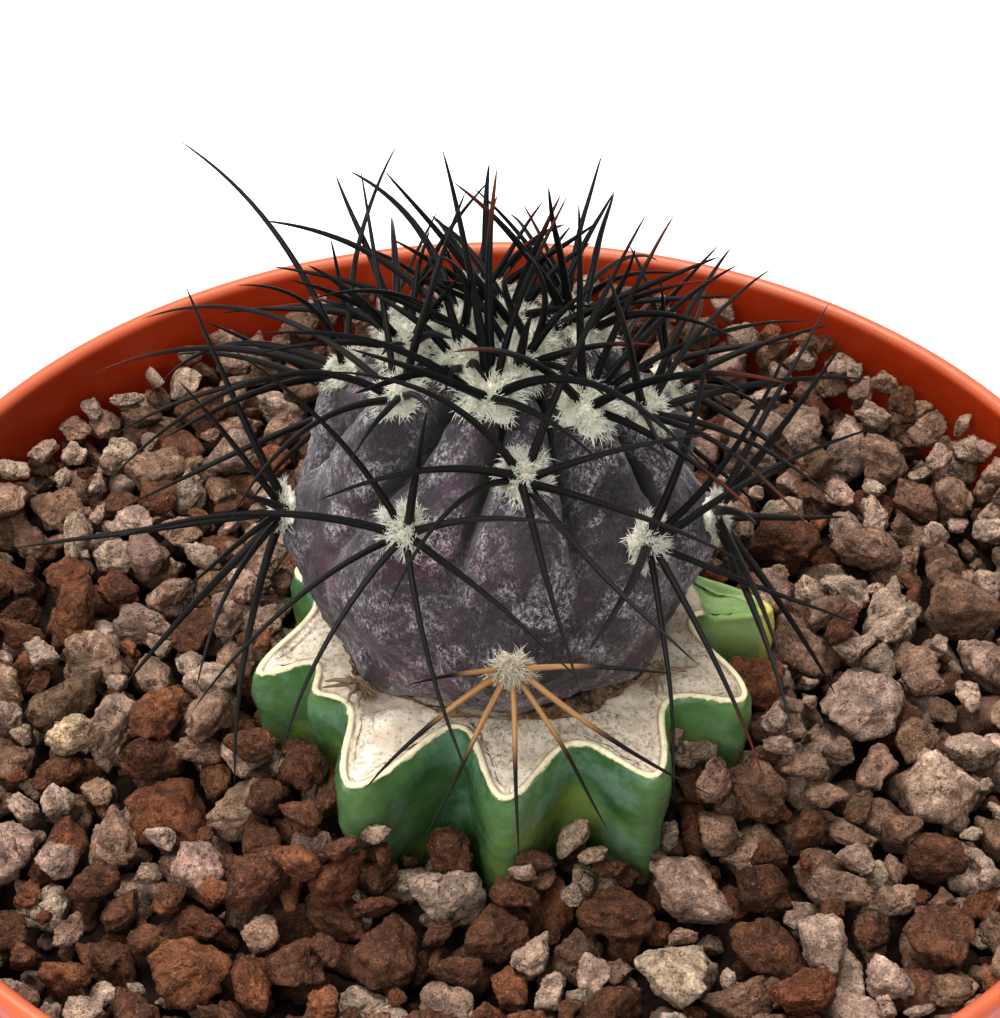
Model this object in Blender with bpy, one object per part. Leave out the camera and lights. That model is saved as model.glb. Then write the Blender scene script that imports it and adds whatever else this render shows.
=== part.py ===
"""Potted round cactus: a ribbed globe grafted on a cut green stock, in a gravel-filled plastic pot.

Metres, +Z up. The origin is the centre of the pot's foot, and -Y is the front of the plant.
Azimuths are in degrees round the axis, 0 at the front and 90 at +X; latitudes rise to 90 at the crown.
"""

import math

import bmesh
import bpy
import numpy as np
from mathutils import Matrix, Vector

MM = 0.001

# Clearance between two pieces that touch in the real plant.
SEAT_GAP = 0.3 * MM

# Pot
POT_HEIGHT = 85.0 * MM
RIM_RADIUS = 50.0 * MM
FOOT_RADIUS = 35.5 * MM
POT_WALL = 1.1 * MM
RIM_BAND_HEIGHT = 12.0 * MM
RIM_BAND_STEP = 1.2 * MM
BAND_BEVEL = 0.4 * MM
LIP_THICKNESS = 1.5 * MM
LIP_STEPS = 6
FOOT_RING_WIDTH = 3.0 * MM
FOOT_RING_SLOPE = 1.0 * MM
FLOOR_LIFT = 3.0 * MM
FLOOR_THICKNESS = 1.4 * MM
CENTRE_HOLE_RADIUS = 4.0 * MM
DRAIN_HOLE_RADIUS = 3.5 * MM
DRAIN_CIRCLE_RADIUS = 21.0 * MM
DRAIN_HOLE_COUNT = 6
DRAIN_HOLE_SEGMENTS = 20
POT_SEGMENTS = 64

# Gravel
HEADSPACE = 5.4 * MM
GRAVEL_RELIEF = 0.7 * MM
GRAVEL_RINGS = 6
POCKET_CHAMFER = (0.4 * MM, 1.0 * MM)
FLOOR_FILLET = 1.5 * MM
WALL_CLEARANCE = 0.45 * MM

# Rootstock: one (azimuth, reach, droop at the tip) for each rib, and (azimuth, depth) for each valley.
PLANT_AXIS = (0.2 * MM, -2.4 * MM)
CUT_ABOVE_RIM = 2.8 * MM
STOCK_SHOULDER = 0.5 * MM
VALLEY_ROUNDING = 0.95
STOCK_RIBS = (
    (-75, 18.9, 2.2),
    (-63, 16.4, 1.2),
    (-32, 20.4, 0.7),
    (0, 18.9, 0.5),
    (33, 19.6, 0.6),
    (64, 19.5, 0.8),
    (100, 21.0, 2.2),
    (136, 18.6, 1.4),
    (174, 18.9, 1.2),
    (212, 18.4, 1.4),
    (248, 17.6, 1.2),
)
STOCK_VALLEYS = (
    (-70, 14.2),
    (-51, 14.6),
    (-15, 11.9),
    (21, 14.2),
    (54, 14.9),
    (89, 13.9),
    (118, 14.2),
    (155, 13.6),
    (193, 14.0),
    (230, 13.7),
    (264, 14.0),
)
STOCK_STEPS = 5
# Sections up the stock: (height under the cut in mm, scale of the outline, shoulder, share of the droop)
STOCK_SECTIONS = (
    (42.0, 0.49, 0, 0.0),
    (40.5, 0.74, 0, 0.0),
    (36.0, 0.82, 0, 0.0),
    (9.0, 0.97, 1, 0.6),
    (2.0, 1.0, 1, 1.0),
    (0.0, 1.0, 0, 1.0),
    (0.0, 0.84, 0, 0.35),
    (0.0, 0.62, 0, 0.0),
)

# Grafted globe
GLOBE_RADIUS = 14.8 * MM
GLOBE_SEAT_DEPTH = 5.6 * MM
GLOBE_SHIFT = (-0.1 * MM, -1.8 * MM)
CROWN_FLATTENING = 0.97
FURROW_DEPTH = 0.11
TUBERCLE_SWELL = 0.035
NOTCH_DEPTH = 0.03
RIB_STEPS = 8
LATITUDE_STEPS = 15

# Areoles: three (latitude, azimuth) on each rib, from the crown down.
RIB_AREOLES = (
    ((80, 25), (50, 9), (-1, 3)),
    ((61, 51), (24, 45), (-29, 53)),
    ((81, 112), (49, 76), (9, 80)),
    ((67, 114), (30, 114), (-27, 112)),
    ((79, 165), (48, 152), (5, 150)),
    ((65, 188), (28, 188), (-28, 188)),
    ((78, 234), (49, 224), (5, 222)),
    ((66, 262), (43, 253), (-25, 250)),
    ((79, 310), (61, 298), (11, 280)),
    ((71, 353), (33, 331), (-29, 315)),
)
ROW_NAMES = ("crown", "shoulder", "waist")

# Wool pad that carries the spines of one areole
PAD_RADIUS = 1.15 * MM
PAD_THICKNESS = 1.1 * MM

# Spines: (clock, lean, length in mm, curl, sway). Clock 0 points to the crown, and 90 to +azimuth.
# Lean is measured from straight out. Curl bends a spine down to the skin, and sway bends it clockwise.
SPINE_RADIUS = 0.31 * MM
SPINE_SAMPLES = (0.0, 0.1, 0.55, 1.0)
SPINE_CLEARANCE = 0.2 * MM
SPINE_CHECKS = 14
SPINE_TAPER = 0.78
RIM_CLEARANCE = 3.0 * MM
# A spine that meets another is tried again, each time a little further round, more upright and shorter.
SPINE_TRIES = 60
RETRY_SWING = 2.5
RETRY_LEAN = 0.3
RETRY_SHORTENING = 0.006
LEAST_LEAN = 8
HAND_SET_SPINES = {
    (8, 2): (
        (200, 35, 20, -0.2, 0.2),
        (347, 59, 18, 0.1, 0),
        (19, 58, 18, 0, 0),
        (45, 62, 13, 0.1, 0),
        (74, 55, 16, 0.1, 0),
        (168, 53, 18, 0.1, 0),
        (95, 57, 18, 0.3, 0),
        (130, 72, 19, 0.3, 0),
    ),
    (9, 1): (
        (329, 51, 18, -0.2, -0.3),
        (32, 43, 17, 0, 0),
        (266, 56, 19, -0.1, -0.4),
        (211, 53, 18, 0, -0.2),
        (187, 56, 18, 0.1, -0.2),
        (143, 63, 19, 0.1, -0.3),
        (75, 60, 18, 0, -0.2),
        (108, 66, 18, 0.1, -0.3),
    ),
    (0, 1): (
        (311, 44, 19, -0.1, -0.5),
        (31, 61, 19, 0, 0),
        (268, 52, 18, 0, -0.2),
        (95, 38, 17, -0.1, 0),
        (129, 53, 18, 0, -0.1),
        (160, 61, 19, -0.1, -0.3),
        (180, 59, 18, 0, -0.1),
        (238, 50, 18, 0, -0.3),
    ),
    (0, 2): (
        (285, 66, 7, 0, 0),
        (80, 66, 11, 0.1, -0.2),
        (244, 64, 12, 0.1, -0.2),
        (203, 56, 13, 0.2, 0),
        (180, 40, 12, 0.2, 0),
        (160, 56, 13, 0.2, 0.1),
        (128, 62, 15, 0.1, -0.4),
    ),
    (1, 1): (
        (144, 72, 17, 0.1, -0.3),
        (223, 56, 18, 0.1, 0.1),
        (201, 54, 18, 0, 0),
        (40, 39, 19, 0.3, -0.5),
        (90, 62, 17, 0.1, -0.2),
        (12, 53, 19, 0.2, -0.3),
        (270, 53, 18, 0.1, 0.2),
    ),
    (2, 1): (
        (229, 42, 18, 0.2, 0.1),
        (242, 61, 18, -0.1, 0),
        (261, 63, 17, 0, 0),
        (90, 70, 15, 0.1, 0),
        (40, 58, 17, 0.1, 0.1),
        (330, 50, 17, 0, 0),
        (140, 60, 17, 0.2, 0),
    ),
    (1, 0): (
        (161, 28, 17, 0.1, 0.2),
        (94, 76, 19, 0.5, 0.4),
        (82, 72, 15, 0.1, 0.3),
        (309, 48, 19, 0.1, -0.5),
        (62, 60, 14, 0.1, 0.1),
        (15, 40, 14, 0, 0),
        (190, 55, 15, 0.2, 0),
    ),
    (8, 1): (
        (185, 35, 21, 0.6, -0.5),
        (303, 65, 15.5, 0, 0),
        (156, 40, 19, 0.5, -0.5),
        (111, 51, 17, 0, 0),
        (88, 54, 17, 0, 0),
        (250, 68, 20, 0.4, -0.4),
        (15, 40, 18, 0, 0.1),
    ),
    (7, 1): (
        (264, 35, 20, -0.3, -0.2),
        (187, 48, 19, 0.3, -0.2),
        (200, 60, 18, 0.4, -0.2),
        (35, 49, 18, 0, 0.5),
        (281, 62, 18, 0.3, 0.1),
        (150, 58, 16, 0.1, 0.1),
        (100, 62, 16, 0, 0),
    ),
    (9, 0): (
        (350, 62, 14.5, 0, 0.2),
        (4, 61, 14.5, 0, 0.1),
        (226, 33, 18, 0, 0),
        (139, 49, 18, 0.1, 0.1),
        (109, 55, 19, 0.3, 0.5),
        (340, 54, 16.5, 0, -0.1),
        (270, 58, 16, 0.1, -0.2),
    ),
    (6, 0): (
        (196, 66, 18, 0.4, -0.4),
        (222, 64, 17, 0.3, -0.5),
        (96, 42, 14, 0.4, 0),
        (30, 40, 15, 0, 0.5),
        (280, 55, 10, 0.1, 0),
        (150, 60, 13, 0.1, 0),
    ),
    (2, 0): (
        (139, 64, 13, 0, -0.1),
        (286, 35, 16, 0, 0.5),
        (334, 38, 15, 0, -0.6),
        (40, 50, 15, 0, 0),
        (190, 58, 13.5, 0.1, 0),
    ),
    (3, 0): (
        (335, 45, 16, -0.1, -0.6),
        (291, 45, 16, -0.1, 0.3),
        (319, 48, 14, 0, 0),
        (274, 54, 16, 0.2, 0),
        (298, 50, 14, 0.1, -0.2),
        (120, 60, 12.5, 0.2, 0),
        (60, 60, 15, 0.2, 0),
    ),
    (2, 2): (
        (275, 66, 18, 0.1, 0),
        (255, 66, 18, 0.1, 0),
        (314, 71, 18, 0.1, 0),
        (180, 62, 18, 0.2, 0),
        (130, 60, 17, 0.2, 0),
        (60, 62, 17, 0.1, 0),
        (10, 50, 16, 0.1, 0),
    ),
}
# Every other areole has an even ring of spines round one or two in the middle.
RULE_RING_COUNT = 6
RULE_RING_LEAN = 62
RULE_MIDDLE_LEAN = 18
RULE_LENGTHS = (9.0, 12.0, 17.5)
CROWNWARD_SHORTENING = 0.3
FOOT_LATITUDE = -20
FOOT_CLOCKS = (60, 100, 260, 300)
FOOT_LENGTH = 7.0


def clear_scene():
    for obj in list(bpy.data.objects):
        bpy.data.objects.remove(obj, do_unlink=True)


def material(name, colour, roughness):
    made = bpy.data.materials.new(name)
    made.use_nodes = True
    shader = made.node_tree.nodes["Principled BSDF"]
    shader.inputs["Base Color"].default_value = (*colour, 1.0)
    shader.inputs["Roughness"].default_value = roughness
    shader.inputs["Metallic"].default_value = 0.0
    return made


def add_object(name, bm, skin, smooth_angle=math.radians(40)):
    bmesh.ops.recalc_face_normals(bm, faces=bm.faces)
    mesh = bpy.data.meshes.new(name)
    bm.to_mesh(mesh)
    bm.free()
    mesh.shade_smooth()
    mesh.set_sharp_from_angle(angle=smooth_angle)
    mesh.materials.append(skin)
    obj = bpy.data.objects.new(name, mesh)
    bpy.context.scene.collection.objects.link(obj)
    return obj


def ring_solid(rings, closed_loop=False, start_point=None, end_point=None):
    """Skin a list of equal rings of points; its two ends close on a point or the last ring joins the first."""
    bm = bmesh.new()
    loops = [[bm.verts.new(p) for p in ring] for ring in rings]
    if closed_loop:
        loops.append(loops[0])
    for lower, upper in zip(loops, loops[1:]):
        for i in range(len(lower)):
            j = (i + 1) % len(lower)
            bm.faces.new((lower[i], lower[j], upper[j], upper[i]))
    for point, loop in ((start_point, loops[0]), (end_point, loops[-1])):
        if point is not None:
            hub = bm.verts.new(point)
            for i in range(len(loop)):
                bm.faces.new((loop[i], loop[(i + 1) % len(loop)], hub))
    return bm


def smoothstep(x):
    x = np.clip(x, 0.0, 1.0)
    return x * x * (3.0 - 2.0 * x)


# Pot ------------------------------------------------------------------------------------------------

def pot_outer_radius(z):
    """Outside of the tapered wall below the rim band."""
    top = RIM_RADIUS - RIM_BAND_STEP
    return FOOT_RADIUS + (top - FOOT_RADIUS) * z / (POT_HEIGHT - RIM_BAND_HEIGHT)


def pot_inner_radius(z):
    """Inside of the wall: it opens at the rim band, which stands one step outside the tapered wall."""
    band_start = POT_HEIGHT - RIM_BAND_HEIGHT
    if z >= band_start:
        return RIM_RADIUS - LIP_THICKNESS
    if z >= band_start - RIM_BAND_STEP:
        share = (z - band_start + RIM_BAND_STEP) / RIM_BAND_STEP
        narrow = pot_outer_radius(band_start - RIM_BAND_STEP) - POT_WALL
        return narrow + (RIM_RADIUS - LIP_THICKNESS - narrow) * share
    return pot_outer_radius(z) - POT_WALL


def pot_profile():
    """Closed outline of the wall, rim band, lip, floor and foot ring, as (radius, height)."""
    band_start = POT_HEIGHT - RIM_BAND_HEIGHT
    lip_mid = RIM_RADIUS - LIP_THICKNESS / 2
    lip_round = LIP_THICKNESS / 2
    floor_top = FLOOR_LIFT + FLOOR_THICKNESS
    outline = [
        (FOOT_RADIUS, 0.0),
        (pot_outer_radius(band_start * 0.5), band_start * 0.5),
        (pot_outer_radius(band_start - BAND_BEVEL), band_start - BAND_BEVEL),
        (RIM_RADIUS - BAND_BEVEL, band_start),
        (RIM_RADIUS, band_start + BAND_BEVEL),
        (RIM_RADIUS, POT_HEIGHT - lip_round),
    ]
    for step in range(1, LIP_STEPS):
        angle = math.pi * step / LIP_STEPS
        outline.append((lip_mid + lip_round * math.cos(angle), POT_HEIGHT - lip_round + lip_round * math.sin(angle)))
    outline += [
        (RIM_RADIUS - LIP_THICKNESS, POT_HEIGHT - lip_round),
        (pot_inner_radius(band_start), band_start),
        (pot_inner_radius(band_start - RIM_BAND_STEP), band_start - RIM_BAND_STEP),
        (pot_inner_radius(band_start * 0.5), band_start * 0.5),
        (pot_inner_radius(floor_top + FLOOR_FILLET), floor_top + FLOOR_FILLET),
        (pot_inner_radius(floor_top) - FLOOR_FILLET, floor_top),
        (CENTRE_HOLE_RADIUS, floor_top),
        (CENTRE_HOLE_RADIUS, FLOOR_LIFT),
        (FOOT_RADIUS - FOOT_RING_WIDTH - FOOT_RING_SLOPE, FLOOR_LIFT),
        (FOOT_RADIUS - FOOT_RING_WIDTH, 0.0),
    ]
    return outline


def drain_cutter():
    """Wire guide object: one cylinder for each drain hole, longer than the floor is thick."""
    bm = bmesh.new()
    for k in range(DRAIN_HOLE_COUNT):
        angle = 2 * math.pi * (k + 0.5) / DRAIN_HOLE_COUNT
        place = Matrix.Translation((
            DRAIN_CIRCLE_RADIUS * math.cos(angle),
            DRAIN_CIRCLE_RADIUS * math.sin(angle),
            FLOOR_LIFT + FLOOR_THICKNESS / 2,
        ))
        bmesh.ops.create_cone(
            bm, cap_ends=True, segments=DRAIN_HOLE_SEGMENTS, radius1=DRAIN_HOLE_RADIUS, radius2=DRAIN_HOLE_RADIUS,
            depth=3 * FLOOR_THICKNESS, matrix=place,
        )
    mesh = bpy.data.meshes.new("drain_cutter")
    bm.to_mesh(mesh)
    bm.free()
    cutter = bpy.data.objects.new("drain_cutter", mesh)
    cutter.display_type = "WIRE"
    cutter.hide_render = True
    bpy.context.scene.collection.objects.link(cutter)
    return cutter


def make_pot():
    rings = []
    for radius, height in pot_profile():
        angles = [2 * math.pi * k / POT_SEGMENTS for k in range(POT_SEGMENTS)]
        rings.append([(radius * math.cos(a), radius * math.sin(a), height) for a in angles])
    bm = ring_solid(rings, closed_loop=True)
    pot = add_object("pot", bm, material("terracotta_plastic", (0.62, 0.13, 0.04), 0.42), math.radians(30))
    holes = pot.modifiers.new("drain_holes", "BOOLEAN")
    holes.operation = "DIFFERENCE"
    holes.object = drain_cutter()


# Rootstock ------------------------------------------------------------------------------------------

def stock_outline():
    """Outline of the cut stock: (azimuth, radius, droop), pointed at each rib tip and round in each valley."""
    points = []
    count = len(STOCK_RIBS)
    for k in range(count):
        tip_azimuth, reach, droop = STOCK_RIBS[k]
        next_azimuth, next_reach, next_droop = STOCK_RIBS[(k + 1) % count]
        valley_azimuth, depth = STOCK_VALLEYS[k]
        next_azimuth += 360 if k == count - 1 else 0
        for step in range(STOCK_STEPS):
            share = step / STOCK_STEPS
            fall = math.sin(math.pi / 2 * share) ** VALLEY_ROUNDING
            points.append((tip_azimuth + (valley_azimuth - tip_azimuth) * share,
                           reach + (depth - reach) * fall, droop * (1 - fall)))
        for step in range(STOCK_STEPS):
            share = step / STOCK_STEPS
            rise = 1 - math.sin(math.pi / 2 * (1 - share)) ** VALLEY_ROUNDING
            points.append((valley_azimuth + (next_azimuth - valley_azimuth) * share,
                           depth + (next_reach - depth) * rise, next_droop * rise))
    return points


def stock_point(azimuth, radius, z):
    angle = math.radians(azimuth)
    return (PLANT_AXIS[0] + radius * math.sin(angle), PLANT_AXIS[1] - radius * math.cos(angle), z)


def make_rootstock():
    cut = POT_HEIGHT + CUT_ABOVE_RIM
    rings = []
    for depth, scale, shoulder, droop_share in STOCK_SECTIONS:
        rings.append([
            stock_point(a, r * MM * scale + STOCK_SHOULDER * shoulder, cut - (depth + d * droop_share) * MM)
            for a, r, d in stock_outline()
        ])
    foot = stock_point(0, 0, cut - STOCK_SECTIONS[0][0] * MM)
    bm = ring_solid(rings, start_point=foot, end_point=stock_point(0, 0, cut))
    add_object("rootstock", bm, material("stock_green", (0.07, 0.22, 0.06), 0.4))


# Gravel ---------------------------------------------------------------------------------------------

def make_gravel_bed():
    """Filled body of the gravel, with a pocket for the stock and a lumpy top."""
    outline = stock_outline()
    rng = np.random.default_rng(11)
    level = POT_HEIGHT - HEADSPACE
    floor = FLOOR_LIFT + FLOOR_THICKNESS + SEAT_GAP
    cut = POT_HEIGHT + CUT_ABOVE_RIM
    pocket_floor = cut - STOCK_SECTIONS[0][0] * MM - SEAT_GAP
    band_start = POT_HEIGHT - RIM_BAND_HEIGHT
    pocket_gap = STOCK_SHOULDER + 2 * SEAT_GAP

    def pocket_ring(height, grow):
        return [stock_point(a, r * MM + grow, height) for a, r, _ in outline]

    def wall_point(azimuth, height):
        """Point on the pot's inner wall, less the clearance, in the direction of the stock's azimuth."""
        angle = math.radians(azimuth)
        reach = pot_inner_radius(height) - WALL_CLEARANCE
        if height < floor + FLOOR_FILLET:
            reach -= FLOOR_FILLET
        return (reach * math.sin(angle), -reach * math.cos(angle), height)

    rings = [pocket_ring(pocket_floor, pocket_gap)]
    rings.append(pocket_ring(level - POCKET_CHAMFER[1], pocket_gap))
    for step in range(GRAVEL_RINGS):
        share = step / (GRAVEL_RINGS - 1)
        ring = []
        for azimuth, radius, _ in outline:
            near = Vector(stock_point(azimuth, radius * MM + pocket_gap + POCKET_CHAMFER[0], level))
            point = near.lerp(Vector(wall_point(azimuth, level)), share)
            point.z = level + (GRAVEL_RELIEF * rng.uniform(-1, 1) if 0 < share < 1 else 0.0)
            ring.append(point)
        rings.append(ring)
    below_band = band_start - RIM_BAND_STEP
    for height in (band_start, below_band, floor + FLOOR_FILLET, floor):
        rings.append([wall_point(a, height) for a, _, _ in outline])
    bm = ring_solid(rings, start_point=stock_point(0, 0, pocket_floor), end_point=(0, 0, floor))
    add_object("gravel_bed", bm, material("volcanic_gravel", (0.2, 0.11, 0.08), 0.9))


# Globe ----------------------------------------------------------------------------------------------

def globe_centre():
    """The cut face slices the globe off at its seat depth."""
    height = POT_HEIGHT + CUT_ABOVE_RIM + GLOBE_RADIUS - GLOBE_SEAT_DEPTH
    return Vector((GLOBE_SHIFT[0], GLOBE_SHIFT[1], height))


def outward(latitude, azimuth):
    lat, az = math.radians(latitude), math.radians(azimuth)
    return Vector((math.cos(lat) * math.sin(az), -math.cos(lat) * math.cos(az), math.sin(lat)))


def crest_azimuths(latitude):
    """Azimuth of each rib's crest at a latitude: a rib wanders from areole to areole."""
    crests = []
    for rib in RIB_AREOLES:
        lats = [lat for lat, _ in reversed(rib)]
        azimuths = [az for _, az in reversed(rib)]
        crests.append(float(np.interp(latitude, lats, azimuths)))
    return crests


def crest_between(latitude, rib_place):
    """Azimuth at a place counted in ribs, such as 2.5 for the furrow between ribs 2 and 3."""
    crests = crest_azimuths(latitude)
    count = len(crests)
    whole = math.floor(rib_place)
    low = crests[whole % count]
    high = crests[(whole + 1) % count]
    return low + ((high - low) % 360) * (rib_place - whole)


def rib_place_of(latitude, azimuth):
    crests = crest_azimuths(latitude)
    count = len(crests)
    for k in range(count):
        span = (crests[(k + 1) % count] - crests[k]) % 360
        offset = (azimuth - crests[k]) % 360
        if offset < span:
            return k + offset / span
    return 0.0


def globe_radius(latitude, azimuth):
    """Distance of the skin from the globe's centre: furrows between ribs, a swelling under each areole."""
    place = rib_place_of(latitude, azimuth)
    lat = math.radians(latitude)
    flat = 1 / math.hypot(math.cos(lat), math.sin(lat) / (CROWN_FLATTENING if latitude > 0 else 1.0))
    crease = 1 - abs(math.cos(math.pi * place)) ** 0.8
    fade = 0.2 + 0.8 * float(smoothstep((latitude + 5) / 50))
    radius = flat * (1 - FURROW_DEPTH * fade * crease)
    for rib in RIB_AREOLES:
        for areole_lat, areole_az in rib:
            across = (azimuth - areole_az + 180) % 360 - 180
            across *= math.cos(math.radians(areole_lat))
            if abs(across) > 40:
                continue
            below = (latitude - areole_lat + 6) / 14
            above = (latitude - areole_lat - 14) / 7
            radius += TUBERCLE_SWELL * math.exp(-(below ** 2) - (across / 13) ** 2)
            radius -= NOTCH_DEPTH * math.exp(-(above ** 2) - (across / 9) ** 2)
    return GLOBE_RADIUS * radius


def skin_point(latitude, azimuth):
    return globe_centre() + outward(latitude, azimuth) * globe_radius(latitude, azimuth)


def make_scion():
    seat = POT_HEIGHT + CUT_ABOVE_RIM + SEAT_GAP
    centre = globe_centre()
    lowest = math.degrees(math.asin((seat - centre.z) / GLOBE_RADIUS))
    highest = 86.0
    columns = len(RIB_AREOLES) * RIB_STEPS
    rings = []
    for row in range(LATITUDE_STEPS + 1):
        latitude = lowest + (highest - lowest) * row / LATITUDE_STEPS
        ring = []
        for column in range(columns):
            point = skin_point(latitude, crest_between(latitude, column / RIB_STEPS))
            if row == 0:
                point.z = seat
            point.z = max(point.z, seat)
            ring.append(point)
        rings.append(ring)
    crown = skin_point(90, 0)
    bm = ring_solid(rings, start_point=(centre.x, centre.y, seat), end_point=crown)
    add_object("scion", bm, material("globe_skin", (0.09, 0.06, 0.09), 0.6), math.radians(60))


# Spines ---------------------------------------------------------------------------------------------

class SpineField:
    """Places spines so that each keeps clear of the spines before it, the globe, stock, gravel and rim."""

    def __init__(self):
        self.points = np.zeros((0, 3))
        self.radii = np.zeros(0)
        self.owners = np.zeros(0, dtype=int)

    def samples(self, path):
        """Points along a spine, closely spaced, with the spine's radius at each."""
        dense = []
        for start, end in zip(path, path[1:]):
            dense += [start.lerp(end, k / SPINE_CHECKS) for k in range(SPINE_CHECKS)]
        dense = np.array([tuple(p) for p in dense + [path[-1]]])
        return dense, SPINE_RADIUS * np.linspace(1.0, 0.2, len(dense))

    def clear_of_plant(self, dense):
        centre = np.array(globe_centre())
        for point in dense[::3]:
            away = point - centre
            distance = float(np.linalg.norm(away))
            if distance < GLOBE_RADIUS * 1.25:
                latitude = math.degrees(math.asin(away[2] / distance))
                azimuth = math.degrees(math.atan2(away[0], -away[1]))
                if distance < globe_radius(latitude, azimuth) + SPINE_RADIUS + SPINE_CLEARANCE:
                    return False
        from_axis = np.hypot(dense[:, 0] - PLANT_AXIS[0], dense[:, 1] - PLANT_AXIS[1])
        stock_reach = max(reach for _, reach, _ in STOCK_RIBS) * MM + STOCK_SHOULDER
        over_stock = from_axis < stock_reach + SPINE_RADIUS + SPINE_CLEARANCE
        cut = POT_HEIGHT + CUT_ABOVE_RIM
        return not np.any(over_stock & (dense[:, 2] < cut + SPINE_RADIUS + SPINE_CLEARANCE))

    def clear_of_pot(self, dense):
        gravel_top = POT_HEIGHT - HEADSPACE + GRAVEL_RELIEF
        if np.any(dense[:, 2] < gravel_top + SPINE_RADIUS + SPINE_CLEARANCE):
            return False
        return not np.any(np.hypot(dense[:, 0], dense[:, 1]) > RIM_RADIUS - RIM_CLEARANCE)

    def clear_of_spines(self, dense, radii, owner):
        """The first stretch of a spine may crowd its neighbours on the same areole."""
        if not len(self.points):
            return True
        far, far_radii = dense[SPINE_CHECKS:], radii[SPINE_CHECKS:]
        gaps = np.linalg.norm(far[:, None, :] - self.points[None, :, :], axis=2)
        need = far_radii[:, None] + self.radii[None, :] + SPINE_CLEARANCE
        if np.any(gaps < need):
            return False
        others = self.owners != owner
        near = dense[:SPINE_CHECKS]
        gaps = np.linalg.norm(near[:, None, :] - self.points[None, others, :], axis=2)
        return not np.any(gaps < 2 * SPINE_RADIUS + SPINE_CLEARANCE)

    def keep_if_clear(self, path, owner):
        dense, radii = self.samples(path)
        if not (self.clear_of_plant(dense) and self.clear_of_pot(dense)
                and self.clear_of_spines(dense, radii, owner)):
            return False
        self.points = np.vstack([self.points, dense])
        self.radii = np.append(self.radii, radii)
        self.owners = np.append(self.owners, np.full(len(dense), owner))
        return True


def spine_path(base, normal, up, side, spine):
    clock, lean, length, curl, sway = spine
    turn, tilt = math.radians(clock), math.radians(lean)
    across = up * math.cos(turn) + side * math.sin(turn)
    along = normal * math.cos(tilt) + across * math.sin(tilt)
    down = across * math.cos(tilt) - normal * math.sin(tilt)
    round_ = side * math.cos(turn) - up * math.sin(turn)
    path = []
    for s in SPINE_SAMPLES:
        path.append(base + length * MM * (s * along + 0.5 * s * s * (curl * down + sway * round_)))
    return path


def rule_spines(rib, row, latitude):
    """Spines of an areole with no list of its own: an even ring and a middle pair, a little uneven."""
    rng = np.random.default_rng(100 + rib * 3 + row)
    if latitude < FOOT_LATITUDE:
        return [(clock + rng.uniform(-8, 8), 50, FOOT_LENGTH * rng.uniform(0.7, 1.1), 0.0, 0.0)
                for clock in FOOT_CLOCKS]
    length = RULE_LENGTHS[row]
    start = rng.uniform(0, 60)
    spines = [(rng.uniform(120, 240), RULE_MIDDLE_LEAN, length, 0.1, 0.1)]
    for k in range(RULE_RING_COUNT):
        clock = start + 360 / RULE_RING_COUNT * k + rng.uniform(-8, 8)
        crownward = max(0.0, math.cos(math.radians(clock)))
        spines.append((clock, RULE_RING_LEAN + rng.uniform(-8, 8),
                       length * rng.uniform(0.9, 1.1) * (1 - CROWNWARD_SHORTENING * crownward),
                       rng.uniform(0, 0.3), rng.uniform(-0.2, 0.2)))
    return spines


def free_face(pad_top_faces, direction, used):
    """Face of the wool pad that looks most nearly along a spine and touches no face that carries one."""
    best = None
    for face, facing in pad_top_faces:
        if face in used or any(edge_face in used for edge in face.edges for edge_face in edge.link_faces):
            continue
        match = facing.dot(direction)
        if best is None or match > best[0]:
            best = (match, face)
    return best[1]


def grow_spine(bm, face, path):
    """Extrude one face of the pad along the path, thinning to a point."""
    centre = face.calc_center_median()
    spokes = [v.co - centre for v in face.verts]
    current = face
    last = len(path) - 1
    for k in range(1, last + 1):
        current = bmesh.ops.extrude_discrete_faces(bm, faces=[current])["faces"][0]
        if k == last:
            for vert in current.verts:
                vert.co = path[k]
            bmesh.ops.pointmerge(bm, verts=list(current.verts), merge_co=path[k])
            return
        tangent = (path[k + 1] - path[k - 1]).normalized()
        radius = SPINE_RADIUS * (1.0 if k == 1 else SPINE_TAPER)
        for vert, spoke in zip(current.verts, spokes):
            flat = spoke - tangent * spoke.dot(tangent)
            vert.co = path[k] + flat.normalized() * radius


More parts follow.
